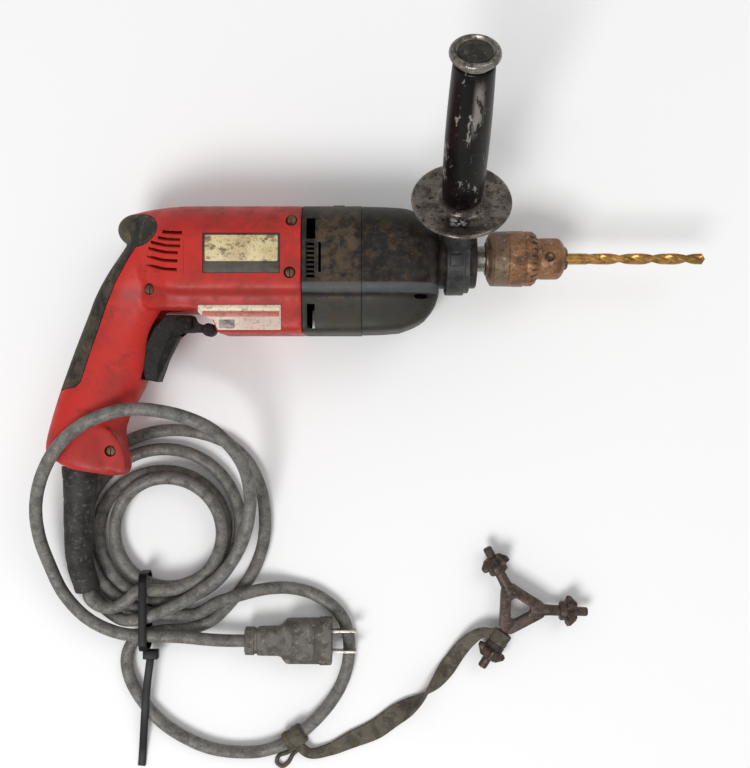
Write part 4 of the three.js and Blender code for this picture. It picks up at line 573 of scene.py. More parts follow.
def spotted_metal():
    look = Finish("spotted_metal", (128, 118, 110), 0.26, 0.6)
    spots = look.noise(3.2, 8, distortion=0.2, rough=0.72)
    broad = look.noise(12, 5, distortion=0.25)
    look.layer(look.between(broad, 0.44, 0.6), (74, 65, 59), 0.85)
    look.layer(look.between(spots, 0.53, 0.62), (30, 26, 24), 0.9)
    look.layer(look.between(look.noise(1.3, 6), 0.6, 0.68), (196, 190, 182), 0.6)
    # A dark patch on the flange, and inside it a painted glint: a white painted highlight, broken up by
    # noise
    dark_patch = look.times(look.span("X", 82, 94, 2), look.span("Y", 10.5, 18.5, 1.5))
    look.layer(dark_patch, (22, 19, 18), 0.8)
    painted_glint = look.times(look.span("X", 84, 92.5, 1.2), look.span("Y", 12.5, 17, 1.0))
    glint_breakup = look.between(look.noise(4, 6, distortion=0.25), 0.44, 0.52)
    look.layer(look.times(painted_glint, glint_breakup), (236, 233, 228), 0.9)
    look.rough(look.between(spots, 0.5, 0.65), 0.16)
    return look.raise_by(spots, 0.05).done()


def glossy_black():
    look = Finish("glossy_black", (5, 4, 4), 0.34, 0.0, 0.05, 0.18)
    streaks = look.noise(8, 9, stretch=(1.6, 0.45, 0.45), distortion=0.25, rough=0.72)
    chips = look.noise(2.2, 8, distortion=0.2, rough=0.78)
    look.layer(look.between(look.noise(15, 4), 0.46, 0.62), (20, 13, 12), 0.8)
    palm = look.times(look.span("X", 91.5, 96, 1.6), look.span("Y", 53, 70, 4))
    look.layer(look.times(palm, look.between(streaks, 0.44, 0.5)), (146, 141, 134), 0.75)
    look.layer(look.between(streaks, 0.6, 0.64), (156, 150, 142), 0.8)
    look.layer(look.between(chips, 0.6, 0.65), (92, 86, 80), 0.65)
    look.rough(look.between(streaks, 0.6, 0.7), 0.5)
    return look.raise_by(chips, 0.03).done()


def gold_bit():
    look = Finish("gold_bit", screen(bpy.context.scene.drill_finish.gold), 0.36, 0.75)
    look.layer(look.between(look.noise(5, 6, distortion=0.25), 0.45, 0.62), (136, 98, 54), 0.85)
    look.layer(look.between(look.noise(1.4, 7), 0.54, 0.66), (84, 62, 38), 0.7)
    look.layer(look.span("X", 226, 245, 4), (120, 84, 50), 0.5)
    return look.raise_by(look.noise(0.6, 5), 0.03).done()


def cord_jacket():
    look = Finish("cord_jacket", screen(bpy.context.scene.drill_finish.cord), 0.45, gloss=0.4)
    grime = look.noise(6, 7, distortion=0.25)
    fine = look.noise(1.5, 8, distortion=0.3, rough=0.76)
    look.layer(look.between(grime, 0.4, 0.66), (78, 76, 72), 0.8)
    look.layer(look.between(fine, 0.5, 0.68), (164, 161, 154), 0.55)
    look.layer(look.between(look.noise(1.8, 7), 0.54, 0.68), (52, 50, 47), 0.6)
    look.rough(look.between(grime, 0.4, 0.6), 0.66)
    return look.raise_by(fine, 0.06).done()


def rough_rubber(name, base, dark, pale, grain=0.9):
    look = Finish(name, base, 0.62, gloss=0.3)
    look.layer(look.between(look.noise(8, 7, distortion=0.25), 0.44, 0.6), dark, 0.9)
    look.layer(look.between(look.noise(2.4, 8, distortion=0.25), 0.54, 0.68), pale, 0.6)
    return look.raise_by(look.noise(grain, 5), 0.09).done()


def worn_metal(name, base, dark, pale, roughness=0.4, metallic=0.9, grain=0.8):
    look = Finish(name, base, roughness, metallic)
    look.layer(look.between(look.noise(5, 7, distortion=0.25), 0.45, 0.6), dark, 0.85)
    look.layer(look.between(look.noise(1.6, 7), 0.56, 0.66), pale, 0.6)
    return look.raise_by(look.noise(grain, 5), 0.04).done()


def label_field(name, base, stain, dark, coverage=0.55):
    look = Finish(name, base, 0.42)
    wear = look.noise(7, 9, stretch=(1, 1.6, 1), distortion=0.3, rough=0.74)
    look.layer(look.between(look.noise(14, 5), 0.42, 0.6), stain, 0.8)
    look.layer(look.between(wear, coverage - 0.05, coverage + 0.04), dark, 0.85)
    look.layer(look.between(look.noise(1.6, 7), 0.56, 0.64), dark, 0.6)
    return look.raise_by(wear, 0.03).done()


# Stage and camera, in metres; the film and the grain of the table are in millimetres

FILM_WIDTH = 36
CLIP = (0.01, 50)
FLOOR_HALF = 8.0
FLOOR_LEVEL = -0.0002
TABLE_GRAIN = 180
FADE_FROM, FADE_TO = 0.5, 1.6
AMBIENT = 0.42
LIGHT_TARGET = Vector((0, -0.05, 0))
# Name, place, size and the setting that gives the power
LIGHTS = [
    ("key_light", (-0.9, -1.7, 2.7), 1.3, "key_power"),
    ("fill_light", (1.5, 1.3, 2.6), 1.6, "fill_power"),
]


class DRILL_OT_stage(Operator):
    """Pale table, soft light, and the camera straight over the drill"""
    bl_idname = "drill.stage"
    bl_label = "Stage"

    def execute(self, context):
        scene = context.scene
        settings = scene.drill_stage
        scene.view_settings.view_transform = "Standard"
        camera_data = bpy.data.cameras.new("camera")
        camera_data.sensor_width = FILM_WIDTH
        camera_data.lens = settings.lens
        camera_data.clip_start, camera_data.clip_end = CLIP
        camera = bpy.data.objects.new("camera", camera_data)
        camera.location = (settings.camera_x, settings.camera_y, settings.camera_height)
        scene.collection.objects.link(camera)
        scene.camera = camera
        self.table(scene)
        scene.world = self.studio()
        for name, where, size, power_setting in LIGHTS:
            data = bpy.data.lights.new(name, "AREA")
            data.size = size
            data.energy = getattr(settings, power_setting)
            light = bpy.data.objects.new(name, data)
            light.location = where
            light.rotation_euler = (LIGHT_TARGET - Vector(where)).to_track_quat("-Z", "Y").to_euler()
            scene.collection.objects.link(light)
        return {"FINISHED"}

    def table(self, scene):
        mesh = bpy.data.meshes.new("floor")
        corners = [(-FLOOR_HALF, -FLOOR_HALF), (FLOOR_HALF, -FLOOR_HALF)]
        corners += [(-x, -y) for x, y in corners]
        mesh.from_pydata([(x, y, FLOOR_LEVEL) for x, y in corners], [], [(0, 1, 2, 3)])
        floor = bpy.data.objects.new("floor", mesh)
        scene.collection.objects.link(floor)
        look = Finish("pale_table", (240, 240, 238), 0.6, gloss=0.1)
        look.layer(look.between(look.noise(TABLE_GRAIN, 3), 0.4, 0.7), (246, 245, 243))
        seen = look.tree.nodes.new("ShaderNodeLightPath").outputs["Is Camera Ray"]
        look.layer(seen, (255, 255, 255))
        mesh.materials.append(look.done())
        self.fade_to_white(look, seen)

    def fade_to_white(self, look, seen):
        """Lets the table run out into the white background, well away from the drill."""
        nodes = look.tree.nodes
        away = nodes.new("ShaderNodeVectorMath")
        away.operation = "LENGTH"
        look.link(look.place, away.inputs[0])
        far = look.between(away.outputs["Value"], FADE_FROM, FADE_TO)
        white = nodes.new("ShaderNodeEmission")
        mix = nodes.new("ShaderNodeMixShader")
        look.link(look.times(seen, far), mix.inputs["Fac"])
        look.link(look.shader.outputs["BSDF"], mix.inputs[1])
        look.link(white.outputs["Emission"], mix.inputs[2])
        output = next(node for node in nodes if node.type == "OUTPUT_MATERIAL")
        look.link(mix.outputs["Shader"], output.inputs["Surface"])

    def studio(self):
        """A white background that lights the drill more softly than it looks."""
        world = bpy.data.worlds.new("studio")
        world.use_nodes = True
        nodes, links = world.node_tree.nodes, world.node_tree.links
        nodes.clear()
        choice = nodes.new("ShaderNodeMixShader")
        rays = nodes.new("ShaderNodeLightPath")
        links.new(rays.outputs["Is Camera Ray"], choice.inputs["Fac"])
        for i, strength in enumerate((AMBIENT, 1.0)):
            background = nodes.new("ShaderNodeBackground")
            background.inputs["Color"].default_value = (1, 1, 1, 1)
            background.inputs["Strength"].default_value = strength
            links.new(background.outputs["Background"], choice.inputs[i + 1])
        output = nodes.new("ShaderNodeOutputWorld")
        links.new(choice.outputs["Shader"], output.inputs["Surface"])
        return world


# Cord, protector, plug and tie

GUARD_ROUTE = [
    (-135, -127.9, 0), (-135.1, -132.5, -0.2), (-136.4, -146, -4), (-138.3, -165, -9.3),
    (-138.8, -185, -14.9), (-135.6, -201, -19.4),
]
GUARD_ENTRY = (-135, -124.4, 0)
GUARD_RADII = (10.8, 7.6)
GUARD_RIBS = 4
GUARD_RIB_DEPTH = 0.35
# Shares of the protector's length
GUARD_RIB_FROM, GUARD_RIB_PITCH, GUARD_RIB_WIDTH = 0.19, 0.2, 0.014
GUARD_LIP = 0.25
GUARD_LIP_FROM = 0.965
NECK_FROM, NECK_LENGTH, NECK_RADIUS = -129.9, 14, 7
LEAD_ROUTE = [(-126.6, -213.2, -21.8), (-118.6, -213.2, -22), (-111.3, -208.6, -22)]
COIL_CENTRE = (-88.5, -166)
COIL_TURNS = 3
COIL_STEPS = 24
COIL_SHARES = [1.04, 1, 0.915, 0.915, 1.017, 1.03, 1.017, 1.213, 1.265, 1.285, 1.404, 1.465, 1.51]
COIL_HEIGHTS = [-21.8, -22, -22, -29, -30.3, -32, -32, -32, -30.3, -32, -32, -32, -30.3]
RUN_ROUTE = [
    (-65, -216.6, -26.6), (-56, -211, -24), (-41.9, -206.2, -23.2), (-26.7, -203.1, -27),
    (-11.4, -203.3, -31.4), (4, -207.4, -32), (19.6, -219.2, -32), (25.2, -233, -32), (25, -250.0, -32),
    (19.6, -266.4, -32), (9.8, -280.4, -30.5), (-3.1, -292.5, -29.2), (-15.7, -300.7, -29.2),
    (-29.0, -305.5, -30.5), (-45.5, -306.6, -32), (-61.8, -304.1, -32), (-76.9, -297.8, -32),
    (-91.4, -288.4, -32), (-102.7, -276.4, -32), (-111.4, -262.0, -32), (-114.2, -249.5, -32),
    (-112.2, -240.5, -31.6), (-106.8, -234.2, -30.6), (-98.6, -231.2, -30.3), (-88.2, -229.6, -30.3),
    (-74.5, -228.9, -31.0), (-60.5, -223.4, -32), (-46.7, -209.7, -32), (-36.0, -195.2, -32),
    (-29.1, -178.3, -32), (-27.2, -160.6, -32), (-29.7, -141.8, -32), (-37.9, -124.1, -32),
    (-51.1, -112.2, -32), (-68.1, -105.9, -32), (-85.7, -104.0, -32), (-104.0, -107.1, -32),
    (-120.4, -114.7, -32), (-134.2, -126.7, -32), (-144.6, -143.0, -32), (-149.6, -163.2, -32),
    (-148.2, -181.4, -32), (-141.6, -199.5, -32), (-132.0, -211.6, -32), (-123.6, -218.6, -29.6),
    (-114.2, -222.0, -25.0), (-103, -220.8, -22.2), (-91.2, -216.5, -21), (-78.4, -210.5, -18.8),
    (-64.4, -201.7, -16), (-51.7, -191.4, -13.5), (-41.6, -177.0, -11), (-35.2, -159.5, -8),
    (-33.3, -141.3, -2), (-35.9, -125.0, 6), (-43.1, -111.4, 15), (-54.5, -100.6, 21),
    (-68.4, -94.1, 24.5), (-83.3, -90.6, 25.5), (-98.3, -89.5, 25.5), (-113.4, -92.4, 25),
    (-128.1, -99.0, 24.5), (-141.7, -111.0, 23), (-153, -127.4, 15.2), (-160.6, -147.2, 3.5),
    (-162.3, -166.6, -8), (-158.9, -184.7, -16.5), (-150.5, -205.5, -21.6), (-135.5, -221.0, -22),
    (-117.0, -229.4, -22), (-99.0, -231.2, -21.8), (-79.4, -232.0, -22.5), (-59.5, -234.2, -24),
]
SEAT_GAP = 0.3

PLUG_BACK = Vector((-38.8, -234.8, -24.4))
PLUG_LENGTH, PLUG_HALF_WIDTH, PLUG_HALF_THICKNESS = 54, 14.2, 10.6
PLUG_SIDES = 56
# Shares of the plug's length, half width and half thickness
PLUG_SHARES = [
    (0, 0.5, 0.54), (0.008, 0.58, 0.62), (0.105, 0.59, 0.63), (0.115, 0.53, 0.57),
    (0.14, 0.53, 0.57), (0.152, 0.6, 0.66), (0.2, 0.61, 0.67), (0.38, 0.62, 0.68),
    (0.415, 0.66, 0.71), (0.455, 0.84, 0.86), (0.48, 0.93, 0.93), (0.5, 0.95, 0.95),
    (0.68, 0.955, 0.96), (0.85, 0.96, 0.97), (0.86, 0.975, 0.985), (0.872, 1, 1),
    (0.975, 1, 1), (0.99, 0.99, 0.99), (1, 0.95, 0.95),
]
BLADE_SPACING = 12.7
SLOT_DEPTH, SLOT_HALF_WIDTH, SLOT_HALF_HEIGHT = 8.3, 1.05, 3.45
PLUG_GROOVES = (30, 43.5)
GROOVE_WIDTH, GROOVE_REACH, GROOVE_FLOOR, GROOVE_TOP = 0.5, 20, 9.85, 14

TIE_AT, TIE_THICK, TIE_CORNER = -101.3, 1.3, 5.0
TIE_LOW, TIE_HIGH, TIE_UNDER, TIE_OVER = -239.6, -193.0, -34.6, -17.5
TIE_HEAD_ALONG, TIE_HEAD_OUT = (-1.05, 8.45), (-28.4, -22.6)
TIE_HEAD_DEPTH, TIE_HEAD_BITE = 5.4, 0.4
TIE_TAIL = [
    (-97.6, -242.5, -25.5), (-98.5, -250, -25.4), (-99.9, -260, -26.2), (-101.6, -278, -26.9),
    (-103.3, -295, -30.8), (-104.7, -308, -34.4), (-105.4, -316.2, -35.2),
]


def even_curve(values, share):
    """A smooth value at a share of the way through evenly spaced values."""
    last = len(values) - 1
    spot = min(share * last, last - 1e-9)
    i = int(spot)
    t = spot - i
    p0, p1 = values[max(i - 1, 0)], values[i]
    p2, p3 = values[i + 1], values[min(i + 2, last)]
    v0, v1 = (p2 - p0) / 2, (p3 - p1) / 2
    return (
        (2 * p1 - 2 * p2 + v0 + v1) * t ** 3 + (-3 * p1 + 3 * p2 - 2 * v0 - v1) * t * t + v0 * t + p1
    )


def cord_path(settings):
    """The cord's middle line from the protector to the plug, in millimetres."""
    diameter = settings.diameter / MM
    coil_points = []
    for i in range(COIL_TURNS * COIL_STEPS + 1):
        share = i / (COIL_TURNS * COIL_STEPS)
        angle = share * COIL_TURNS * 2 * math.pi - math.pi / 2
        radius = even_curve(COIL_SHARES, share) * settings.coil_radius / MM
        coil_points.append(Vector((
            COIL_CENTRE[0] + math.cos(angle) * radius, COIL_CENTRE[1] + math.sin(angle) * radius,
            even_curve(COIL_HEIGHTS, share),
        )))
    ahead = Vector((1, 0, 0))
    coil_start = coil_points[0] - ahead * diameter
    coil_end = coil_points[-1] + ahead * diameter
    guard = smooth_path(GUARD_ROUTE)
    guard_way = (guard[-1] - guard[-2]).normalized()
    straight = SEAT_GAP + diameter
    lead = [
        guard[-1], guard[-1] + guard_way * straight, *LEAD_ROUTE,
        coil_start - ahead * straight, coil_start - ahead * SEAT_GAP,
    ]
    run = [
        coil_end + ahead * SEAT_GAP, coil_end + ahead * straight, *RUN_ROUTE,
        PLUG_BACK - ahead * straight, PLUG_BACK,
    ]
    return (
        smooth_path(lead, 8) + smooth_path([coil_start, *coil_points, coil_end], 3) + smooth_path(run, 8)
    )


class DRILL_OT_cord(Operator):
    """The mains cord as one curve from the protector through its coil to the plug"""
    bl_idname = "drill.cord"
    bl_label = "Cord"

    def execute(self, context):
        settings = context.scene.drill_cord
        path = [place(*point) for point in cord_path(settings)]
        data = bpy.data.curves.new("mains_cord", "CURVE")
        data.dimensions = "3D"
        data.bevel_depth = settings.diameter / 2
        data.bevel_resolution = 7
        data.use_fill_caps = True
        spline = data.splines.new("POLY")
        spline.points.add(len(path) - 1)
        for point, where in zip(spline.points, path):
            point.co = (*where, 1)
        spline.use_smooth = True
        cord = bpy.data.objects.new("mains_cord", data)
        context.scene.collection.objects.link(cord)
        data.materials.append(cord_jacket())
        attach(cord, "drill_body")
        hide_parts("cord_lead", "cord_coil", "cord_run")

        guard = self.protector()
        plug = self.plug()
        tie = self.tie(settings)
        return {"FINISHED"}

    def protector(self):
        path = [Vector(GUARD_ENTRY), *smooth_path(GUARD_ROUTE, 14)]
        radii = []
        for i in range(len(path)):
            share = i / (len(path) - 1)
            radius = GUARD_RADII[0] + (GUARD_RADII[1] - GUARD_RADII[0]) * share
            for rib in range(GUARD_RIBS):
                away = share - (GUARD_RIB_FROM + rib * GUARD_RIB_PITCH)
                radius -= GUARD_RIB_DEPTH * math.exp(-(away / GUARD_RIB_WIDTH) ** 2)
            radii.append(radius + (GUARD_LIP if share > GUARD_LIP_FROM else 0))
        guard = tube("cord_guard", path, radii, 40)
        soften(guard, 0.5, 2, 50)
        down_handle = Matrix((
            (0, 1, 0, GUARD_ENTRY[0]), (1, 0, 0, NECK_FROM), (0, 0, -1, 0), (0, 0, 0, 1),
        ))
        join(guard, drum("cord_guard_neck", 0, NECK_LENGTH, NECK_RADIUS, 40, down_handle))
        rubber = rough_rubber("guard_rubber", (54, 52, 49), (36, 34, 32), (104, 100, 94))
        return finish(guard, "drill_body", rubber, ["cord_protector"])

    def plug(self):
        rings = []
        for along, width, thickness in PLUG_SHARES:
            ring = []
            for angle in turn_angles(PLUG_SIDES, 0.5):
                bulge = [math.copysign(abs(v) ** 0.5, v) for v in (math.cos(angle), math.sin(angle))]
                ring.append(PLUG_BACK + Vector((
                    along * PLUG_LENGTH, bulge[0] * PLUG_HALF_WIDTH * width,
                    bulge[1] * PLUG_HALF_THICKNESS * thickness,
                )))
            rings.append(ring)
        plug = skin("plug_moulding", rings)
        x, y, z = PLUG_BACK
        face = x + PLUG_LENGTH
        cutters = []
        for side in (-1, 1):
            middle = y + side * BLADE_SPACING / 2
            cutters.append(block(
                "slot", (face - SLOT_DEPTH, face + OVERRUN),
                (middle - SLOT_HALF_WIDTH, middle + SLOT_HALF_WIDTH),
                (z - SLOT_HALF_HEIGHT, z + SLOT_HALF_HEIGHT),
            ))
        across = (y - GROOVE_REACH, y + GROOVE_REACH)
        for at in PLUG_GROOVES:
            along = (x + at, x + at + GROOVE_WIDTH)
            cutters.append(block("groove", along, across, (z + GROOVE_FLOOR, z + GROOVE_TOP)))
        cut(plug, *cutters)
        for i in (1, 2):
            nickel = worn_metal(
                f"blade_nickel_{i}", (206, 200, 190), (168, 158, 142), (232, 228, 220), 0.28, 0.95, 0.5,
            )
            repaint(f"plug_blade_{i}", nickel, 0.3)
        rubber = rough_rubber("plug_rubber", (108, 103, 96), (74, 70, 65), (150, 144, 136), 0.7)
        return finish(plug, "drill_body", rubber, ["plug_body"])

    def tie_outline(self, along, margin):
        """The tie's loop round the coil, with its corners rounded."""
        ring = []
        reach = TIE_CORNER + margin
        left, right = TIE_LOW + TIE_CORNER, TIE_HIGH - TIE_CORNER
        under, over = TIE_UNDER + TIE_CORNER, TIE_OVER - TIE_CORNER
        corners = [(right, over), (left, over), (left, under), (right, under)]
        for quarter, (across, up) in enumerate(corners):
            for i in range(13):
                angle = (quarter + i / 12) * math.pi / 2
                ring.append(Vector((along, across + math.cos(angle) * reach, up + math.sin(angle) * reach)))
        return ring

    def tie(self, settings):
        half_width = settings.tie_width / MM / 2
        left, right = TIE_AT - half_width, TIE_AT + half_width
        edges = [(left, 0), (left, TIE_THICK), (right, TIE_THICK), (right, 0)]
        tie = skin("tie_band", [self.tie_outline(*edge) for edge in edges], True)
        soften(tie, 0.25, 2)
        head_at = TIE_LOW - TIE_THICK
        head_along = [TIE_AT + reach for reach in TIE_HEAD_ALONG]
        head_up = (head_at - TIE_HEAD_DEPTH, head_at + TIE_HEAD_BITE)
        head = block("tie_head", head_along, head_up, TIE_HEAD_OUT)
        soften(head, 0.7, 3)
        points = smooth_path(TIE_TAIL, 8)
        rings = []
        for way, point in zip(ways_along(points), points):
            across = way.cross(UP).normalized()
            above = across.cross(way)
            rings.append([
                point + across * (a * half_width) + above * (b * TIE_THICK / 2)
                for a, b in ((-1, -1), (1, -1), (1, 1), (-1, 1))
            ])
        tail = skin("tie_tail", rings)
        soften(tail, 0.2, 2, 60)
        join(tie, head, tail)
        look = Finish("tie_nylon", (10, 10, 10), 0.45, gloss=0.25)
        look.layer(look.between(look.noise(4, 6), 0.55, 0.75), (30, 28, 26), 0.6)
        look.raise_by(look.noise(0.8, 4), 0.03)
        return finish(tie, "drill_body", look.done(), ["cable_tie"])


# Housing, rear grip, screws and plates

# Shares of the top or the keel's depth, and of the half width
BARREL_SHARES = [
    (1, 0.36), (0.92, 0.61), (0.735, 0.82), (0.485, 0.967), (0.37, 1),
    (-0.373, 1), (-0.47, 0.972), (-0.531, 0.844), (-0.945, 0.794), (-1, 0.66),
]
# Place along, top, bottom and half width, in millimetres
BARREL_REAR = [
    (-105.0, 22.0, 3, 9), (-103.4, 24.6, 12, 14), (-99.5, 26.6, 20, 19), (-93, 27.8, 30, 25),
    (-86, 28.6, 38, 30.5), (-78, 29.3, 43.4, 34.6), (-70, 29.8, 45.4, 35.9),
]
STRAIGHT_FROM = -62
# Shares of the handle's reach back and drop for its rear and front edge, and of the half width
HANDLE_SHARES = [
    (0.668, -0.085, 0.454, -0.038, 0.62), (0.693, -0.035, 0.467, 0.077, 0.66),
    (0.758, 0.077, 0.506, 0.154, 0.6), (0.804, 0.173, 0.544, 0.254, 0.52),
    (0.836, 0.269, 0.588, 0.362, 0.48), (0.898, 0.458, 0.613, 0.563, 0.47),
    (0.962, 0.682, 0.698, 0.771, 0.49), (1, 0.873, 0.68, 0.931, 0.51),
    (0.956, 0.931, 0.684, 0.976, 0.5), (0.914, 0.958, 0.7, 0.998, 0.45),
]
HANDLE_WALL = 5.6
# The grip's front edge, as shares of the handle's reach back and drop
GRIP_SHARES = [
    (0.601, -0.075), (0.613, -0.066), (0.658, 0.014), (0.712, 0.125), (0.748, 0.221),
    (0.779, 0.327), (0.811, 0.432), (0.828, 0.496), (0.847, 0.566), (0.871, 0.59),
    (0.912, 0.597), (0.941, 0.61), (1.1, 0.64),
]
GRIP_PAD, GRIP_PAD_RADII = (-96.6, 14.6), (13.4, 9.7)
GRIP_OUTSIDE, GRIP_TOP, GRIP_STRIP_FROM = -180, 12, -97
GRIP_REAR, GRIP_REAR_UP = (-130, -99), (4, 24.3)
AHEAD_OF_GRIP = [(-20, 60), (-60, 60)]
DOME, DOME_RADII = (-98.6, 16.6, 0), (12.9, 10.2, 19.5)
FOOT_PAD = [
    (-118.5, -98.5), (-112.5, -102.5), (-106.8, -110.5), (-103.6, -121), (-104.6, -126),
    (-108.6, -127.6), (-118.5, -122.2), (-123.5, -117), (-121.5, -107),
]
FOOT_PAD_OUT = (3.5, 17.4)
BAY_ROOF, BAY_FRONT, BAY_BACK = 31.5, 49.4, -150
SCREW_PLACES = {
    "screw_upper_front": (-5.8, 18.4), "screw_lower_front": (-6.6, -11.6),
    "screw_behind_trigger": (-88.6, -20.1), "screw_foot": (-112.9, -114.3),
}
SCREW_RECESS, SCREW_RECESS_RADIUS, SCREW_SINK = 3.9, 3.35, 1.5
# Depth under the top of a screw's head, and radius
SCREW_HEAD = [(2.2, 0), (2.2, 2.9), (0.7, 3.0), (0.25, 2.7), (0, 1.9), (0, 0)]
SCREW_SHANK, SCREW_SHANK_RADIUS = (16, 1), 2
SCREW_SLOT, SCREW_SLOT_HALF, SCREW_SLOT_DEPTH = 3.6, 0.4, 1.1
# Height, front and back of each vent behind the joint
VENTS = [
    (10.4, 67.7, 79.2), (6.7, 68.7, 81.9), (3.1, 68.7, 86.5), (-0.8, 70.1, 88), (-5.5, 70.3, 89),
    (-10.4, 70.7, 89.5),
]
VENT_LEAN, LOUVRE_LEAN = 0.035, math.radians(31)
VENT_HALF, VENT_REACH, VENT_PIVOT = 0.8, 10, 75
VENT_EDGE, VENT_EDGE_UP, VENT_EDGE_DEPTH = (-66.9, -66.5), (-13, 15), 0.3
RIB_FROM, RIB_STEPS, RIB_PITCH = -93, 8, 1.5
RIB_LOW, RIB_LOW_AT, RIB_LEAN, RIB_HEIGHT, RIB_SINK, RIB_PROUD = -14.9, -80, 0.02, 1.4, 0.8, 0.2
NAME_RECESS, NAME_RECESS_UP, NAME_RECESS_DEPTH = (-56.1, -12), (-12, 10.9), 1.0
RATING_PLACE = (-35.85, -36.8)
RATING_RECESS, RATING_RECESS_UP, RATING_RECESS_OUT = (-24.1, 24.1), (-7.5, 7.5), (-0.7, 6)
KEEL_TOP_SHARES, KEEL_FOOT_SHARES = (0.531, 0.844), (0.939, 0.794)
MOUTH = [(-93.2, -59.8), (-77.2, -26), (-95.7, -26), (-111, -59.8)]
TRIGGER_HALF = 9.9
TRIGGER_PULL = Vector((-0.951, 0.308)) * 6.3
# Steps of the pull at which the trigger's way is cut
PULL_SHARES = (0, 0.33, 0.67, 1)
LOCK_PLACE, LOCK_RADIUS, LOCK_DEPTH = (-117.3, -65), 3.7, -8
HALVES = [(-200, 10), (-150, 60), (-0.15, 0.15)]
FAR = 45.0
# Name, place along and up, thickness from its face, corner, and whether it lies on the keel
PLATES = [
    ("name_plate_border", (-55.9, -12.2), (-11.7, 10.7), (-0.95, -0.25), 1.2, False),
    ("name_plate_field", (-54.8, -13.3), (-5.2, 9.7), (-0.5, -0.12), 1.0, False),
    ("rating_plate_base", (-23.8, 23.8), (-7.2, 7.2), (-0.65, -0.05), 0.8, True),
    ("rating_plate_band", (-21.4, 23.0), (0.4, 3.6), (-0.3, 0.02), 0.4, True),
    ("rating_plate_line", (-11.8, -2.7), (-6.3, -1.2), (-0.3, 0.02), 0.4, True),
    ("rating_plate_strip", (-23.0, 23.0), (4.0, 6.4), (-0.3, 0.02), 0.4, True),
]
# The cut corner of the rating plate: distance from its end, and height
RATING_CORNER = [(0, 3.2), (2.0, 1.2), (9.0, -1.4), (11.2, -7.2)]
PLATE_NODES = {"name_plate_border": ["name_plate"], "rating_plate_base": ["rating_plate"]}


def barrel_ring(at, top, bottom, half, inset=0.0, radius=5.5):
    """A section of the barrel at a place along the drill, drawn in from its surface by the inset."""
    right = [((up * top if up > 0 else up * bottom), out * half) for up, out in BARREL_SHARES]
    outline = right + [(up, -out) for up, out in reversed(right)]
    if inset:
        shrink_top, shrink_bottom = (top - inset) / top, (bottom - inset) / bottom
        outline = [
            (up * (shrink_top if up > 0 else shrink_bottom), out * (half - inset) / half)
            for up, out in outline
        ]
    return [Vector((at, up, out)) for up, out in rounded(outline, radius)]


def handle_rings(settings, inset=0.0, steps=5, sides=56):
    """Sections of the handle from the barrel down to its foot."""
    back, drop = settings.handle_back / MM, settings.handle_drop / MM
    half_width = settings.half_width / MM
    rings = []
    count = (len(HANDLE_SHARES) - 1) * steps
    for i in range(count + 1):
        values = [even_curve([row[k] for row in HANDLE_SHARES], i / count) for k in range(5)]
        rear = Vector((-values[0] * back, -values[1] * drop, 0))
        front = Vector((-values[2] * back, -values[3] * drop, 0))
        depth = (rear - front).length / 2 - inset
        way = (rear - front).normalized()
        half = values[4] * half_width - inset
        ring = []
        for angle in turn_angles(sides):
            bulge = [math.copysign(abs(v) ** 0.72, v) for v in (math.cos(angle), math.sin(angle))]
            point = (rear + front) / 2 + way * bulge[0] * depth
            point.z = bulge[1] * half
            ring.append(point)
        rings.append(ring)
    return rings


def bay_cutter(settings, shift=0.0):
    """The room for the trigger under the barrel, open at the keel."""
    roof, front = BAY_ROOF, BAY_FRONT
    keel = settings.bottom / MM
    outline = [
        (BAY_BACK, -roof), (-front * 1.27, -roof), (-front * 1.17, -roof * 1.05),
        (-front * 1.075, -roof * 1.155), (-front * 1.025, -roof * 1.25), (-front, -keel),
        (-front, -keel - 2 * OVERRUN), (BAY_BACK, -keel - 2 * OVERRUN),
    ]
    return prism("bay", rounded([(x + shift, y + shift) for x, y in outline], 1.5, 3), -FAR, FAR)


def grip_zone(settings, widen=0.0):
    """The area of the rear grip seen from the side: a strip down the handle and an oval pad on top."""
    back, drop = settings.handle_back / MM, settings.handle_drop / MM
    strip = [(-b * back + widen, -d * drop - widen) for b, d in GRIP_SHARES]
    strip += [
        (GRIP_OUTSIDE, -GRIP_SHARES[-1][1] * drop - widen), (GRIP_OUTSIDE, GRIP_TOP),
        (GRIP_STRIP_FROM, GRIP_TOP),
    ]
    zone = prism("grip_strip", strip, -FAR, FAR)
    pad = oval(GRIP_PAD, [radius + widen for radius in GRIP_PAD_RADII], 72)
    rear = block("grip_rear", GRIP_REAR, (GRIP_REAR_UP[0], GRIP_REAR_UP[1] + widen), (-FAR, FAR))
    return join(zone, prism("grip_oval", pad, -FAR, FAR), rear)


def surface_height(piece, along, up):
    """How high a piece's top surface lies over the spindle axis at a place."""
    hit, point, _normal, _index = piece.ray_cast(place(along, up, FAR * 2), -UP)
    if not hit:
        raise RuntimeError(f"{piece.name} has no surface at {along}, {up}")
    return (point.z - SPINDLE_MIDDLE.z) / MM


def keel_frame(half, bottom):
    """The frame of the rating plate, on the leaning side of the keel."""
    (top_up, top_out), (foot_up, foot_out) = KEEL_TOP_SHARES, KEEL_FOOT_SHARES
    lean = math.atan2((top_out - foot_out) * half, (foot_up - top_up) * bottom)
    down = (-RATING_PLACE[1] / bottom - top_up) / (foot_up - top_up)
    side = (top_out + down * (foot_out - top_out)) * half
    return Matrix.Translation((*RATING_PLACE, side)) @ Matrix.Rotation(lean, 4, "X")


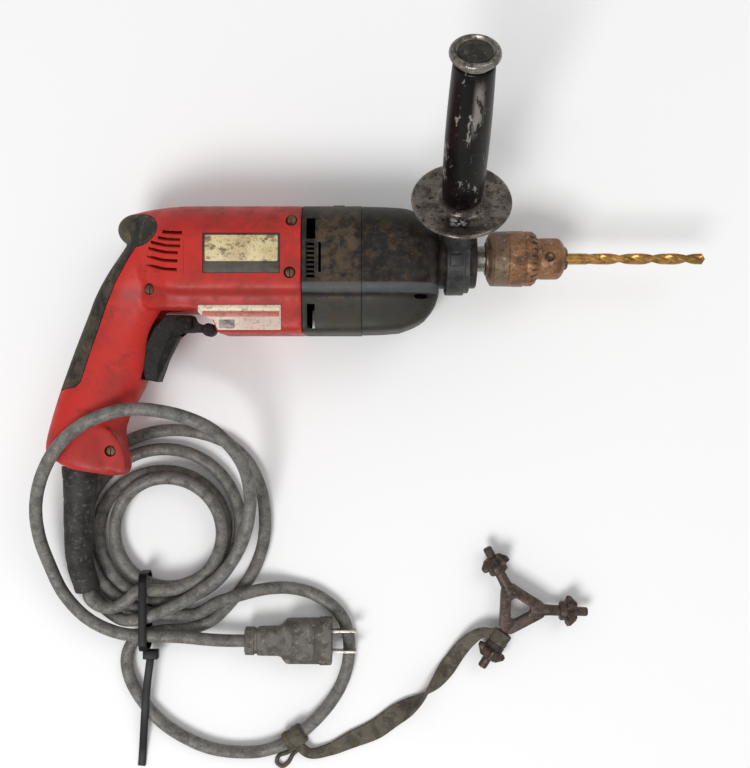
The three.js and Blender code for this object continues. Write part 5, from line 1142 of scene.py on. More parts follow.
class DRILL_OT_housing(Operator):
    """The red shell with its vents and recesses, the rear grip, the screws and the two plates"""
    bl_idname = "drill.housing"
    bl_label = "Housing"

    def execute(self, context):
        settings = context.scene.drill_housing
        top, bottom, half = settings.top / MM, settings.bottom / MM, settings.half_width / MM
        wall = settings.wall / MM
        shell = self.outer_form(settings, top, bottom, half)
        heights = {name: surface_height(shell, *spot) for name, spot in SCREW_PLACES.items()}
        rib_line = []
        for i in range(RIB_STEPS + 1):
            x = RIB_FROM + i * RIB_PITCH
            low = RIB_LOW - (x - RIB_LOW_AT) * RIB_LEAN
            rib_line.append((x, low, surface_height(shell, x, low + RIB_HEIGHT / 2)))

        grip = copy_of(shell, "rear_grip_pad")
        common(grip, grip_zone(settings))
        cut(shell, grip_zone(settings, settings.seam / MM))
        cut(grip, block("grip_front", *AHEAD_OF_GRIP, (-FAR, FAR)))

        inner = [barrel_ring(*row, inset=wall, radius=3) for row in BARREL_REAR[3:]]
        inner += [barrel_ring(x, top, bottom, half, wall, 3) for x in (STRAIGHT_FROM, OVERRUN / 2)]
        hollow = skin("hollow", inner)
        cut(hollow, bay_cutter(settings, wall))
        cut(shell, hollow, skin("handle_hollow", handle_rings(settings, HANDLE_WALL)[:-6]))
        on_keel = keel_frame(half, bottom)
        cut(shell, *self.openings(half, heights, on_keel))

        red = red_plastic()
        finish(shell, "drill_body", red, ["housing_right", "housing_left"], 32)
        rib = skin("vent_rib", [
            [Vector((x, up, out)) for up, out in (
                (low, height - RIB_SINK), (low, height + RIB_PROUD),
                (low + RIB_HEIGHT, height + RIB_PROUD), (low + RIB_HEIGHT, height - RIB_SINK),
            )] for x, low, height in rib_line
        ])
        soften(rib, 0.25, 3)
        finish(rib, "drill_body", red)
        finish(grip, "drill_body", grip_rubber(), ["rear_grip"], 32)
        steel = worn_metal("screw_steel", (112, 88, 64), (66, 50, 38), (150, 128, 98), 0.5, 0.5, 0.5)
        for name, spot in SCREW_PLACES.items():
            self.screw(name, spot, heights[name] - SCREW_SINK, steel)
        self.plates(half, on_keel)
        return {"FINISHED"}

    def outer_form(self, settings, top, bottom, half):
        """Barrel, handle, grip dome and foot pad fused into one smooth form."""
        rings = [barrel_ring(*row) for row in BARREL_REAR]
        rings += [barrel_ring(x, top, bottom, half) for x in (STRAIGHT_FROM, 0)]
        shell = skin("housing_shell", rings)
        cut(shell, bay_cutter(settings))
        join(shell, skin("handle", handle_rings(settings)))
        join(shell, ellipsoid("grip_dome", DOME, DOME_RADII))
        join(shell, prism("foot_pad", rounded(FOOT_PAD, 3), *FOOT_PAD_OUT))
        fuse = shell.modifiers.new("fuse", "REMESH")
        fuse.mode = "VOXEL"
        fuse.voxel_size = settings.voxel
        smooth = shell.modifiers.new("smooth", "SMOOTH")
        smooth.factor = 0.5
        smooth.iterations = 9
        apply_modifiers(shell)
        return shell

    def openings(self, half, heights, on_keel):
        """Vents, screw recesses, plate recesses, the trigger's way, the lock's hole and the seam."""
        cutters = []
        for side in (1, -1):
            for height, front, back in VENTS:
                matrix = (
                    Matrix.Translation((0, height + VENT_PIVOT * VENT_LEAN, side * half))
                    @ Matrix.Rotation(VENT_LEAN, 4, "Z") @ Matrix.Rotation(side * LOUVRE_LEAN, 4, "X")
                )
                along, up, out = (-back, -front), (-VENT_HALF, VENT_HALF), (-VENT_REACH, VENT_REACH)
                cutters.append(block("vent", along, up, out, matrix))
        for name, spot in SCREW_PLACES.items():
            floor = heights[name] - SCREW_RECESS
            cutters.append(drum("recess", floor, FAR, SCREW_RECESS_RADIUS, 40, out_at(*spot)))
        cutters += [
            block("name_recess", NAME_RECESS, NAME_RECESS_UP, (half - NAME_RECESS_DEPTH, FAR)),
            block("rating_recess", RATING_RECESS, RATING_RECESS_UP, RATING_RECESS_OUT, on_keel),
        ]
        cutters.append(prism("mouth", MOUTH, -TRIGGER_HALF, TRIGGER_HALF))
        paddle = trigger_outline(0.6)
        for share in PULL_SHARES:
            shift = TRIGGER_PULL * share
            outline = [(x + shift.x, y + shift.y) for x, y in paddle]
            cutters.append(prism("slot", outline, -TRIGGER_HALF, TRIGGER_HALF))
        cutters.append(drum("lock_hole", -FAR, LOCK_DEPTH, LOCK_RADIUS, 40, out_at(*LOCK_PLACE)))
        cutters.append(block("halves", *HALVES))
        cutters.append(block("vent_edge", VENT_EDGE, VENT_EDGE_UP, (half - VENT_EDGE_DEPTH, FAR)))
        return cutters

    def screw(self, name, spot, top, steel):
        x, y = spot
        profile = [(top - depth, radius) for depth, radius in SCREW_HEAD]
        head = revolve(f"{name}_head", profile, 40, out_at(x, y))
        low, high = [top - depth for depth in SCREW_SHANK]
        join(head, drum("shank", low, high, SCREW_SHANK_RADIUS, 24, out_at(x, y)))
        cut(head, block(
            "slot", (x - SCREW_SLOT_HALF, x + SCREW_SLOT_HALF), (y - SCREW_SLOT, y + SCREW_SLOT),
            (top - SCREW_SLOT_DEPTH, top + 1),
        ))
        finish(head, "drill_body", steel, [name])

    def plates(self, half, on_keel):
        looks = {
            "name_plate_border": label_field("plate_border", (66, 60, 44), (52, 46, 34), (36, 32, 26)),
            "name_plate_field": label_field(
                "plate_cream", (218, 200, 154), (188, 166, 122), (104, 82, 54), 0.56,
            ),
            "rating_plate_base": label_field(
                "plate_pale", (212, 194, 178), (204, 176, 160), (168, 110, 96), 0.6,
            ),
            "rating_plate_band": label_field(
                "plate_rosy", (186, 96, 86), (172, 84, 74), (142, 60, 52), 0.58,
            ),
            "rating_plate_line": label_field(
                "plate_grey", (150, 138, 126), (132, 120, 110), (92, 82, 76), 0.56,
            ),
            "rating_plate_strip": label_field(
                "plate_strip", (224, 214, 184), (206, 192, 160), (140, 118, 92), 0.6,
            ),
        }
        for name, along, up, out, corner, keel in PLATES:
            outline = [(along[0], up[0]), (along[1], up[0]), (along[1], up[1]), (along[0], up[1])]
            if name == "rating_plate_base":
                outline[:1] = [(along[0] + x, y) for x, y in RATING_CORNER]
            face, matrix = (0, on_keel) if keel else (half, None)
            piece = prism(name, rounded(outline, corner, 5), face + out[0], face + out[1], matrix)
            soften(piece, 0.12, 2)
            finish(piece, "drill_body", looks[name], PLATE_NODES.get(name, []))


# Trigger, reversing lever and lock button

TRIGGER_REACH, TRIGGER_DROP = 86.8, 73.7
TRIGGER_SHARES = [
    (1, 1), (0.98, 0.976), (0.952, 0.896), (0.914, 0.794), (0.88, 0.711), (0.858, 0.658), (0.84, 0.625),
    (0.95, 0.6), (1.045, 0.62), (1.12, 0.8), (1.085, 0.985),
]
PADDLE_REAR = [(-81.7, -34.1), (-88.5, -41), (-97.2, -59), (-94.3, -72.6)]
PADDLE_CREST = [(-87.2, -73.8), (-86.9, -64), (-81.4, -50.5), (-77.0, -41), (-75.6, -37), (-75.2, -34.1)]
PADDLE_FACE = [
    (-87.8, -73.9), (-81.9, -60.8), (-75.4, -47.8), (-71.6, -44.9), (-66.9, -43.7), (-66.7, -34.1),
]
PADDLE_MIDDLE = Vector((-83, -54))
PADDLE_HALF, PADDLE_FLAT, PADDLE_EDGE, PADDLE_SHRINK = 9.5, 5.0, 0.7, 0.9
LEVER_WAY = [(-100, -60), (-46.6, -30), (-5.2, 5.2)]
KNOB, KNOB_RADII, KNOB_HALF = (-57.1, -42.7), (4.0, 3.9), 7
LEVER_ARM = [
    (-84.5, -35.0), (-66, -34.2), (-64.4, -38.4), (-60, -39.8), (-57, -40), (-57, -44.5), (-63.5, -44.2),
    (-70, -44.6), (-84.5, -43.4),
]
LEVER_ARM_HALF = 2.5


def trigger_outline(margin=0.0):
    middle = Vector((-TRIGGER_REACH * 0.96, -TRIGGER_DROP * 0.78))
    outline = []
    for back, drop in TRIGGER_SHARES:
        out = Vector((-back * TRIGGER_REACH, -drop * TRIGGER_DROP)) - middle
        out.length += margin
        outline.append(tuple(middle + out))
    return outline


def paddle_level(front, out, shrink=0.0):
    outline = [Vector(point) for point in front + PADDLE_REAR]
    outline = [point + (PADDLE_MIDDLE - point).normalized() * shrink for point in outline]
    return [Vector((x, y, out)) for x, y in outline]


class DRILL_OT_controls(Operator):
    """The trigger, the reversing lever and the lock button"""
    bl_idname = "drill.controls"
    bl_label = "Controls"

    def execute(self, context):
        edge = PADDLE_HALF - PADDLE_EDGE
        paddle = skin("trigger_paddle_face", [
            paddle_level(PADDLE_CREST, -PADDLE_HALF, PADDLE_SHRINK), paddle_level(PADDLE_CREST, -edge),
            paddle_level(PADDLE_FACE, -PADDLE_FLAT), paddle_level(PADDLE_FACE, PADDLE_FLAT),
            paddle_level(PADDLE_CREST, edge), paddle_level(PADDLE_CREST, PADDLE_HALF, PADDLE_SHRINK),
        ])
        cut(paddle, block("lever_way", *LEVER_WAY))
        soften(paddle, 0.6, 3, 30)
        black = rough_rubber("control_black", (36, 34, 32), (22, 21, 20), (70, 66, 60), 0.6)
        finish(paddle, "trigger_paddle", black, ["trigger"], 30)

        knob = prism("lever_knob", oval(KNOB, KNOB_RADII, 32), -KNOB_HALF, KNOB_HALF)
        soften(knob, 1.4, 4, 50)
        arm = prism("lever_arm", rounded(LEVER_ARM, 1.5, 4), -LEVER_ARM_HALF, LEVER_ARM_HALF)
        soften(arm, 0.6, 3, 50)
        join(knob, arm)
        finish(knob, "reversing_switch", black, ["reversing_lever"])

        lock_black = rough_rubber("lock_black", (38, 36, 35), (26, 24, 23), (70, 66, 60), 0.6)
        repaint("lock_button", lock_black, 0.4)
        switch_black = rough_rubber("switch_black", (34, 33, 32), (24, 23, 22), (60, 56, 52), 0.8)
        repaint("switch_body", switch_black, 0.4)
        return {"FINISHED"}


# Gear case and selector

CASE_REAR = (0.3, 1, 17, 33.5, 34.2)
CASE_FRONT_FROM, CASE_FRONT_TO = 34.5, 79.3
CASE_WALL = 3.2
# Shares of the front section's length, and of the barrel's top, bottom and half width
CASE_SHARES = [
    (0, 0.99, 0.99, 1), (0.25, 0.982, 0.985, 1), (0.5, 0.963, 0.965, 1), (0.582, 0.943, 0.935, 0.995),
    (0.68, 0.9, 0.9, 0.975), (0.77, 0.845, 0.855, 0.94), (0.84, 0.785, 0.805, 0.89),
    (0.9, 0.71, 0.735, 0.82), (0.95, 0.64, 0.655, 0.72), (0.985, 0.585, 0.56, 0.62), (1, 0.55, 0.5, 0.55),
]
CASE_NOSE = [
    (70, 0), (70, 17.9), (97.4, 17.9), (97.7, 17.7), (101.4, 17.7), (102.1, 17.0), (102.1, 0),
]
SHAFT_AXIS = Matrix.Translation((0, 3.5, 0))
LAY_AXIS = Matrix.Translation((0, -19.5, 0))
SLOT_COUNT, SLOT_PITCH = 8, 2.6


def case_form(name, stations, size, inset):
    """The barrel's form between some places along, drawn in from its surface."""
    return skin(name, [barrel_ring(x, *size, inset, 3) for x in stations])


class DRILL_OT_gearcase(Operator):
    """The two sections of the gear case with its exhaust openings, and the mode slider"""
    bl_idname = "drill.gearcase"
    bl_label = "Gear case"

    def execute(self, context):
        settings = context.scene.drill_housing
        size = (settings.top / MM, settings.bottom / MM, settings.half_width / MM)
        case = dusty_case()
        rear, bar = self.rear_section(size)
        finish(rear, "drill_body", case, ["gearcase_rear"], 35)
        finish(bar, "drill_body", case, angle=35)
        front = self.front_section(size)
        finish(front, "drill_body", case, ["gearcase_front"], 35)
        slider = rough_rubber("selector_black", (58, 56, 52), (40, 38, 36), (96, 90, 82), 0.6)
        repaint("mode_selector", slider, 0.35)
        return {"FINISHED"}

    def rear_section(self, size):
        half = size[2]
        through = (-FAR, FAR)
        rear = skin("case_rear", [barrel_ring(x, *size) for x in CASE_REAR])
        skirt = case_form("skirt", (-11.5, 1.2), size, 3.3)
        join(skirt, case_form("skirt_shoulder", (0.3, 1.2), size, 1.0))
        join(rear, skirt, case_form("case_lip", (33, 34.9), size, 1.6))
        bosses = [
            drum("boss_way", 0, FAR, 4.6, 40, out_at(*SCREW_PLACES[name]))
            for name in ("screw_upper_front", "screw_lower_front")
        ]
        cut(
            rear, *bosses, case_form("skirt_hollow", (-13, 2.4), size, 5.9),
            case_form("fan_room", (1.2, 9.5), size, CASE_WALL),
            case_form("gear_room", (17.9, 36), size, CASE_WALL),
            drum("bearing_seat", 9, 17.3, 11.3, 64, SHAFT_AXIS),
            drum("shaft_way", 17, 18.5, 7, 48, SHAFT_AXIS),
            drum("lay_seat", 10.5, 18.5, 3.3, 32, LAY_AXIS),
        )
        openings = [
            block("opening", (2.9, 8.0), (7.5, 20), through),
            block("opening", (2.9, 7.4), (-43, -29), through),
            block("ribbed", (2.6, 7.6), (-14.6, 6.2), (half - 2.0, FAR)),
            block("ribbed", (2.6, 7.6), (-14.6, 6.2), (-FAR, 2.0 - half)),
        ]
        for i in range(SLOT_COUNT):
            rise = i * SLOT_PITCH
            openings.append(block("slot", (2.9, 7.3), (-14.2 + rise, -12.7 + rise), through))
        openings.append(block("selector_way", (17.1, 24.3), (15, FAR), (-10.3, 4.3)))
        cut(rear, *openings)
        bar = block("case_bar", (9.2, 11.9), (-13.4, 11.8), (half - 1.2, half))
        soften(bar, 0.6, 3)
        soften(rear, 0.35, 2, 40)
        return rear, bar

    def front_section(self, size):
        top, bottom, half = size
        long = CASE_FRONT_TO - CASE_FRONT_FROM
        forms = [
            (CASE_FRONT_FROM + share * long, top * up, bottom * down, half * wide)
            for share, up, down, wide in CASE_SHARES
        ]
        front = skin("case_front", [barrel_ring(*form, radius=6) for form in forms])
        inner = [barrel_ring(33, *forms[0][1:], CASE_WALL, 4)]
        inner += [barrel_ring(at - CASE_WALL, *form, CASE_WALL, 4) for at, *form in forms[1:5]]
        rooms = [
            common(skin(name, inner), block("room", between, (-60, 60), (-FAR, FAR)))
            for name, between in (("gear_room", (32, 48.4)), ("hammer_room", (54.8, 60.4)))
        ]
        join(front, revolve("case_nose", CASE_NOSE, 96))
        cut(
            front, *rooms, case_form("lip_seat", (33, 35.2), size, 1.5),
            drum("ratchet_seat", 48, 55, 15.6, 64), drum("lay_seat", 48, 55, 3.3, 32, LAY_AXIS),
            drum("neck_bore", 60, 105, 9.25, 64), drum("bearing_seat", 62.4, 75.3, 15.9, 64),
        )
        cut(front, ellipsoid("case_notch", (68.2, -24.6, 27.5), (4.2, 1.7, 5.5)))
        soften(front, 0.4, 2, 50)
        return front


# Side handle

CLAMP_MIDDLE = 90.75
SIDE_TILT = math.radians(56)
SIDE_FRAME = (
    Matrix.Translation((CLAMP_MIDDLE, 0, 0)) @ Matrix.Rotation(SIDE_TILT, 4, "X")
    @ Matrix.Rotation(math.pi / 2, 4, "Z")
)
BOLT_WAY = 4.45
# Place along the drill, and radius
CLAMP_RING = [
    (83.8, 18.6), (83.8, 21.3), (84.4, 21.9), (94.3, 21.9), (94.8, 21.4), (94.8, 20.6), (97.3, 20.6),
    (97.7, 20.2), (97.7, 18.6),
]
# Distance from the spindle axis out along the handle, and radius
CLAMP_NECK = [(17.9, 0), (17.9, 9.4), (26, 9.0), (36, 8.5), (42.8, 8.5), (43.4, 8.0), (43.4, 0)]
CLAMP_LUG = [(85.8, 93.2), (-3.4, 3.4), (20.8, 22.9)]
FLANGE_FROM, FLANGE_TALL = 43.7, 9.5
FLANGE_SHARES = [
    (0, 0.3), (0.02, 0.36), (0.1, 0.385), (0.24, 0.4), (0.34, 0.46), (0.42, 0.58), (0.5, 0.76),
    (0.55, 0.9), (0.58, 0.96), (0.63, 0.99), (0.7, 1), (0.77, 0.992), (0.81, 0.965), (0.815, 0.93),
    (0.79, 0.86), (0.74, 0.76), (0.69, 0.64), (0.67, 0.54), (0.7, 0.48), (0.78, 0.45), (0.9, 0.435),
    (1, 0.43), (1, 0.3),
]
TUBE_FROM, TUBE_TO = 53.5, 148.3
TUBE_SHARES = [
    (0, 0.84), (0.006, 0.91), (0.02, 0.945), (0.08, 0.965), (0.2, 0.99), (0.35, 1), (0.5, 0.998),
    (0.65, 0.98), (0.8, 0.95), (0.92, 0.915), (0.985, 0.895), (0.995, 0.87), (1, 0.82),
]
CAP_FROM, RIM_RADIUS, RIM_STEPS = 148.6, 2.35, 16
CAP_FOOT = [(0, 0), (0, 9.6), (0.4, 10.2), (1.6, 10.3)]
CAP_DISH = [(5.6, 9.6), (5.3, 9.2), (5.1, 7), (5.3, 3), (5.35, 0)]
CAP_DISC = [
    (4.6, 0), (4.6, 8.9), (5.75, 8.7), (5.9, 8.0), (5.7, 6.6), (5.5, 6.3), (5.7, 5.9), (5.8, 2.0), (5.8, 0),
]


class DRILL_OT_side_handle(Operator):
    """The clamp band, saucer flange, side grip and end cap"""
    bl_idname = "drill.side_handle"
    bl_label = "Side handle"

    def execute(self, context):
        settings = context.scene.drill_side_handle
        self.clamp()
        self.flange(settings.flange_radius / MM)
        self.grip(settings.grip_radius / MM)
        self.cap(settings.cap_radius / MM)
        repaint("handle_bolt", worn_metal("bolt_steel", (140, 134, 124), (96, 88, 80), (180, 174, 166)))
        return {"FINISHED"}

    def clamp(self):
        band = revolve("clamp_ring", CLAMP_RING, 96, closed=True)
        neck = revolve("clamp_neck", CLAMP_NECK, 64, SIDE_FRAME)
        cut(neck, drum("clamp_bore", 80, 100, CLAMP_RING[0][1], 96))
        join(band, neck)
        cut(band, drum("bolt_way", 21.7, 46, BOLT_WAY, 40, SIDE_FRAME))
        lug = block("clamp_lug", *CLAMP_LUG, Matrix.Rotation(math.radians(8), 4, "X"))
        soften(lug, 0.8, 3)
        join(band, lug)
        soften(band, 0.3, 2, 50)
        finish(band, "side_clamp", clamp_metal(), ["clamp_band"], 35)

    def flange(self, radius):
        profile = [(FLANGE_FROM + along * FLANGE_TALL, share * radius) for along, share in FLANGE_SHARES]
        flange = revolve("saucer_flange", profile, 128, SIDE_FRAME)
        bolt_to = FLANGE_FROM + FLANGE_TALL + OVERRUN
        cut(flange, drum("bolt_way", FLANGE_FROM - OVERRUN, bolt_to, BOLT_WAY, 40, SIDE_FRAME))
        finish(flange, "side_handle", spotted_metal(), ["side_flange"], 45)

    def grip(self, radius):
        profile = [
            (TUBE_FROM + along * (TUBE_TO - TUBE_FROM), share * radius) for along, share in TUBE_SHARES
        ]
        grip = revolve("side_grip_tube", [(TUBE_FROM, 0), *profile, (TUBE_TO, 0)], 96, SIDE_FRAME)
        cut(grip, drum("bolt_way", 50, 144.6, BOLT_WAY, 40, SIDE_FRAME))
        finish(grip, "side_handle", glossy_black(), ["side_grip"], 45)

    def cap(self, radius):
        rim = []
        for k in range(RIM_STEPS + 1):
            angle = math.pi + (math.pi * 1.05) * -k / RIM_STEPS
            along = 2.2 + RIM_RADIUS + RIM_RADIUS * math.cos(angle)
            rim.append((along, radius - RIM_RADIUS + RIM_RADIUS * math.sin(angle)))
        profile = [(CAP_FROM + along, out) for along, out in (*CAP_FOOT, *rim, *CAP_DISH)]
        cap = revolve("end_cap", profile, 96, SIDE_FRAME)
        metal = worn_metal("cap_metal", (134, 128, 120), (74, 69, 62), (196, 190, 180), 0.3, 0.6, 0.7)
        finish(cap, "side_handle", metal, ["grip_cap"], 45)
        disc = revolve("end_cap_disc", [(CAP_FROM + along, out) for along, out in CAP_DISC], 72, SIDE_FRAME)
        disc_paint = rough_rubber("cap_disc_paint", (60, 57, 49), (38, 36, 31), (112, 106, 94), 0.7)
        finish(disc, "side_handle", disc_paint, angle=45)


# Chuck, jaws and bit

JAW_INCLINE = math.radians(10)
JAW_TIP, JAW_BORE, JAW_BORE_BACK = Vector((157, 4.7, 0)), 2.8, 31.6
SLEEVE_CLEARANCE = 0.3
SLEEVE_REAR = [
    (109.3, 12.9), (109.5, 13.4), (111.0, 16.1), (111.6, 16.4), (111.9, 16.3), (112.2, 16.0), (112.6, 16.35),
    (120.8, 16.5), (121.1, 16.25), (121.5, 16.6),
]
SLEEVE_WIDEST = 130.0
SLEEVE_FRONT = [(130.4, 16.5), (130.7, 15.9), (131.2, 15.9), (131.6, 16.4), (135.6, 16.3), (137.9, 14.4)]
# Place along, radius and share of the width of the gap between two teeth
TOOTH_GAP = [(132.6, 17.0, 0.5), (138.6, 12.8, 0.6), (138.6, 18.5, 1.0), (132.6, 18.5, 1.0)]
TOOTH_GAP_HALF = 1.15
NUT_GROOVE, NUT_GROOVE_RADIUS = (124.2, 130.8), 15.2
CHUCK_REAR = [(107.8, 0), (107.8, 9.6), (108.2, 10.2), (109.0, 10.4)]
# Place along, and how far the surface lies under the body's radius
CHUCK_FRONT = [
    (109.0, 0), (139.6, 0), (140.0, 0.25), (140.5, 0.25), (140.9, 0), (150.6, 0), (151.8, 0.35),
    (153.2, 1.6), (154.4, 3.4), (155.4, 5.6), (155.8, 6.6),
]
CHUCK_FACE = 155.6
PILOT_AT, PILOT_PROFILE = 145.1, [(7.4, 0), (8.6, 3.0), (20, 3.0), (20, 0)]
# Radius of the fluted part, as shares over half a turn
BIT_SHARES = [
    1, 1, 0.99, 0.975, 0.965, 0.96, 0.9, 0.72, 0.55, 0.43, 0.36, 0.35, 0.38, 0.46, 0.6, 0.78, 0.93, 0.99,
]
FLUTES_FROM, BIT_TIP, POINT_LENGTH, FLUTE_FADE, BIT_STEPS = 168.5, 240.2, 2.3, 9.0, 150
POINT_SHARES = (0.75, 0.5, 0.25, 0.04)


class DRILL_OT_chuck(Operator):
    """The rusty keyed chuck with its sleeve, jaws and gold twist bit"""
    bl_idname = "drill.chuck"
    bl_label = "Chuck"

    def execute(self, context):
        settings = context.scene.drill_chuck
        rust = rusty_chuck()
        self.sleeve(settings, rust)
        self.body(settings.front_radius / MM, rust)
        jaw_steel = worn_metal("jaw_steel", (120, 104, 84), (82, 66, 52), (166, 152, 132), 0.4, 0.8)
        for i in (1, 2, 3):
            repaint(f"jaw_{i}", jaw_steel, 0.15)
        repaint("chuck_nut", jaw_steel)
        self.bit(settings.bit_radius / MM, settings.bit_lead / MM)
        return {"FINISHED"}

    def sleeve(self, settings, rust):
        bore = settings.front_radius / MM + SLEEVE_CLEARANCE
        widest = (SLEEVE_WIDEST, settings.sleeve_radius / MM)
        rear, front = (SLEEVE_REAR[0][0], bore), (SLEEVE_FRONT[-1][0], bore)
        profile = [rear, *SLEEVE_REAR, widest, *SLEEVE_FRONT, front]
        sleeve = revolve("sleeve_body", profile, 128, closed=True)
        teeth = []
        for angle in turn_angles(settings.teeth):
            turn = Matrix.Rotation(angle, 4, "X")
            teeth.append(skin("tooth_gap", [
                [turn @ Vector((x, y, z * share)) for x, y, share in TOOTH_GAP]
                for z in (-TOOTH_GAP_HALF, TOOTH_GAP_HALF)
            ]))
        low, high = NUT_GROOVE
        groove = revolve("nut_groove", [
            (low, bore - 1), (low, NUT_GROOVE_RADIUS), (high, NUT_GROOVE_RADIUS), (high, bore - 1),
        ], 96, closed=True)
        cut(sleeve, groove, *teeth)
        soften(sleeve, 0.12, 1, 50)
        finish(sleeve, "chuck_collar", rust, ["chuck_sleeve"], 35)

    def body(self, radius, rust):
        front = [(along, radius - under) for along, under in CHUCK_FRONT]
        body = revolve("chuck_front", [*CHUCK_REAR, *front, (CHUCK_FACE, 0)], 112)
        holes = []
        for degrees in (90, 210, 330):
            turn = Matrix.Rotation(math.radians(degrees), 4, "X") @ Matrix.Translation((PILOT_AT, 0, 0))
            holes.append(revolve("pilot", PILOT_PROFILE, 40, turn @ Matrix.Rotation(math.pi / 2, 4, "Z")))
        back = Vector((-math.cos(JAW_INCLINE), math.sin(JAW_INCLINE), 0))
        for degrees in (30, 150, 270):
            turn = Matrix.Rotation(math.radians(degrees), 4, "X")
            ends = [turn @ (JAW_TIP - back * OVERRUN), turn @ (JAW_TIP + back * JAW_BORE_BACK)]
            holes.append(tube("jaw_bore", ends, [JAW_BORE, JAW_BORE], 32))
        holes += [drum("bit_bore", 112, 160, 5.2, 48), drum("thread_bore", 105, 122.8, 6.5, 48)]
        cut(body, *holes)
        soften(body, 0.15, 1, 50)
        finish(body, "spindle", rust, ["chuck_body"], 35)

    def bit(self, radius, lead):
        section = list(zip(turn_angles(len(BIT_SHARES) * 2), BIT_SHARES * 2))

        def ring(x, level):
            turn = 2 * math.pi * x / lead
            return [
                Vector((x, r * math.cos(a), r * math.sin(a)))
                for r, a in ((radius * level(share), angle + turn) for angle, share in section)
            ]

        rings = []
        point_from = BIT_TIP - POINT_LENGTH
        for i in range(BIT_STEPS + 1):
            x = FLUTES_FROM + (point_from - FLUTES_FROM) * i / BIT_STEPS
            depth = min(1.0, (x - FLUTES_FROM) / FLUTE_FADE)
            rings.append(ring(x, lambda share: 1 - (1 - share) * depth))
        for left in POINT_SHARES:
            rings.append(ring(BIT_TIP - POINT_LENGTH * left, lambda share: min(share, left) * 0.96))
        bit = skin("twist_bit", rings)
        join(bit, drum("bit_shank", 126, 168.9, radius, 48))
        finish(bit, "bit", gold_bit(), ["drill_bit"], 30)


# Chuck key and strap

KEY_CENTRE = (131.6, -215.3, -26.4)
KEY_TURN = math.radians(-2.5)
KEY_WEB, KEY_HOLE, KEY_SPREAD, KEY_HALF = 17.0, 7.6, math.radians(12), 3.3
# Distance from the key's middle, and radius
KEY_ARM = [(9, 3.2), (14, 3.7), (20, 3.35), (27.5, 3.3)]
KEY_COLLAR = [(25.6, 0), (25.6, 5.4), (26.4, 6.0), (30.3, 6.0), (30.3, 0)]
KEY_PILOT = [(35.8, 0), (35.8, 2.8), (42.2, 2.8), (43, 2.2), (43, 0)]
# Distance from the key's middle, radius at the teeth's tips and at their roots
KEY_HEAD = [(29.7, 8.6, 6.6), (30.3, 9.4, 7.2), (32.4, 9.2, 7.0), (36.0, 5.8, 4.2), (36.2, 5.0, 4.0)]
KEY_TEETH, TOOTH_WAVE = 10, (0, 0, 0.5, 1, 1, 0.5)
# Place along, up and out, roll in degrees and share of the strap's width
STRAP_ROUTE = [
    (-6.5, -301.5, -29.8, 0, 0.5), (1, -307.6, -32.5, 0, 0.5), (13, -305.8, -33.9, 0, 0.6),
    (27.5, -299.4, -34.3, 0, 0.85), (42, -293.1, -34.4, 0, 1), (54.5, -284, -33.3, 8, 1),
    (63.4, -277.6, -30.4, 45, 0.95), (72.3, -271, -29.4, 90, 0.9), (79.8, -263.4, -30.4, 135, 0.85),
    (87.4, -254, -33.2, 174, 0.85), (95.6, -242.2, -31.8, 180, 0.75), (102.5, -234.4, -29, 180, 0.65),
    (109, -230.4, -27.2, 180, 0.5), (116.2, -230.6, -26.5, 180, 0.45),
]
STRAP_HALF_THICKNESS = 1.1
LOOP_ROUTE = [
    (-8.5, -303.5, -31), (-13.5, -307.5, -33.4), (-18.6, -309.6, -34.2), (-20, -313.6, -34.4),
    (-16.6, -316.4, -34.4), (-12.8, -314, -34.3), (-10, -309, -33.8), (-6, -304.5, -31),
]
LOOP_RADIUS = 1.3
WRAP_NEAR = (-7.9, -296)
TURN_RADIUS, TURN_THICK, TURN_LEAN, TURN_STEPS = 5.7, 1.0, 1.6, 28
TURN_PLACES = ((1, -3.2), (2, 2.2))


def collar_round(name, centre, way, inner, outer, long, waves=0.0, sides=40):
    """A soft sleeve round a line, with a slightly uneven surface."""
    way = way.normalized()
    side = UP.cross(way).normalized()
    over = way.cross(side)
    stations = [
        (-0.5, inner), (-0.5, outer - 0.5), (-0.46, outer), (-0.2, outer + waves), (0.05, outer - waves),
        (0.3, outer + waves), (0.46, outer), (0.5, outer - 0.5), (0.5, inner),
    ]
    rings = [
        [
            centre + way * along * long + (side * math.cos(a) + over * math.sin(a)) * radius
            for a in turn_angles(sides)
        ] for along, radius in stations
    ]
    return skin(name, rings, True)


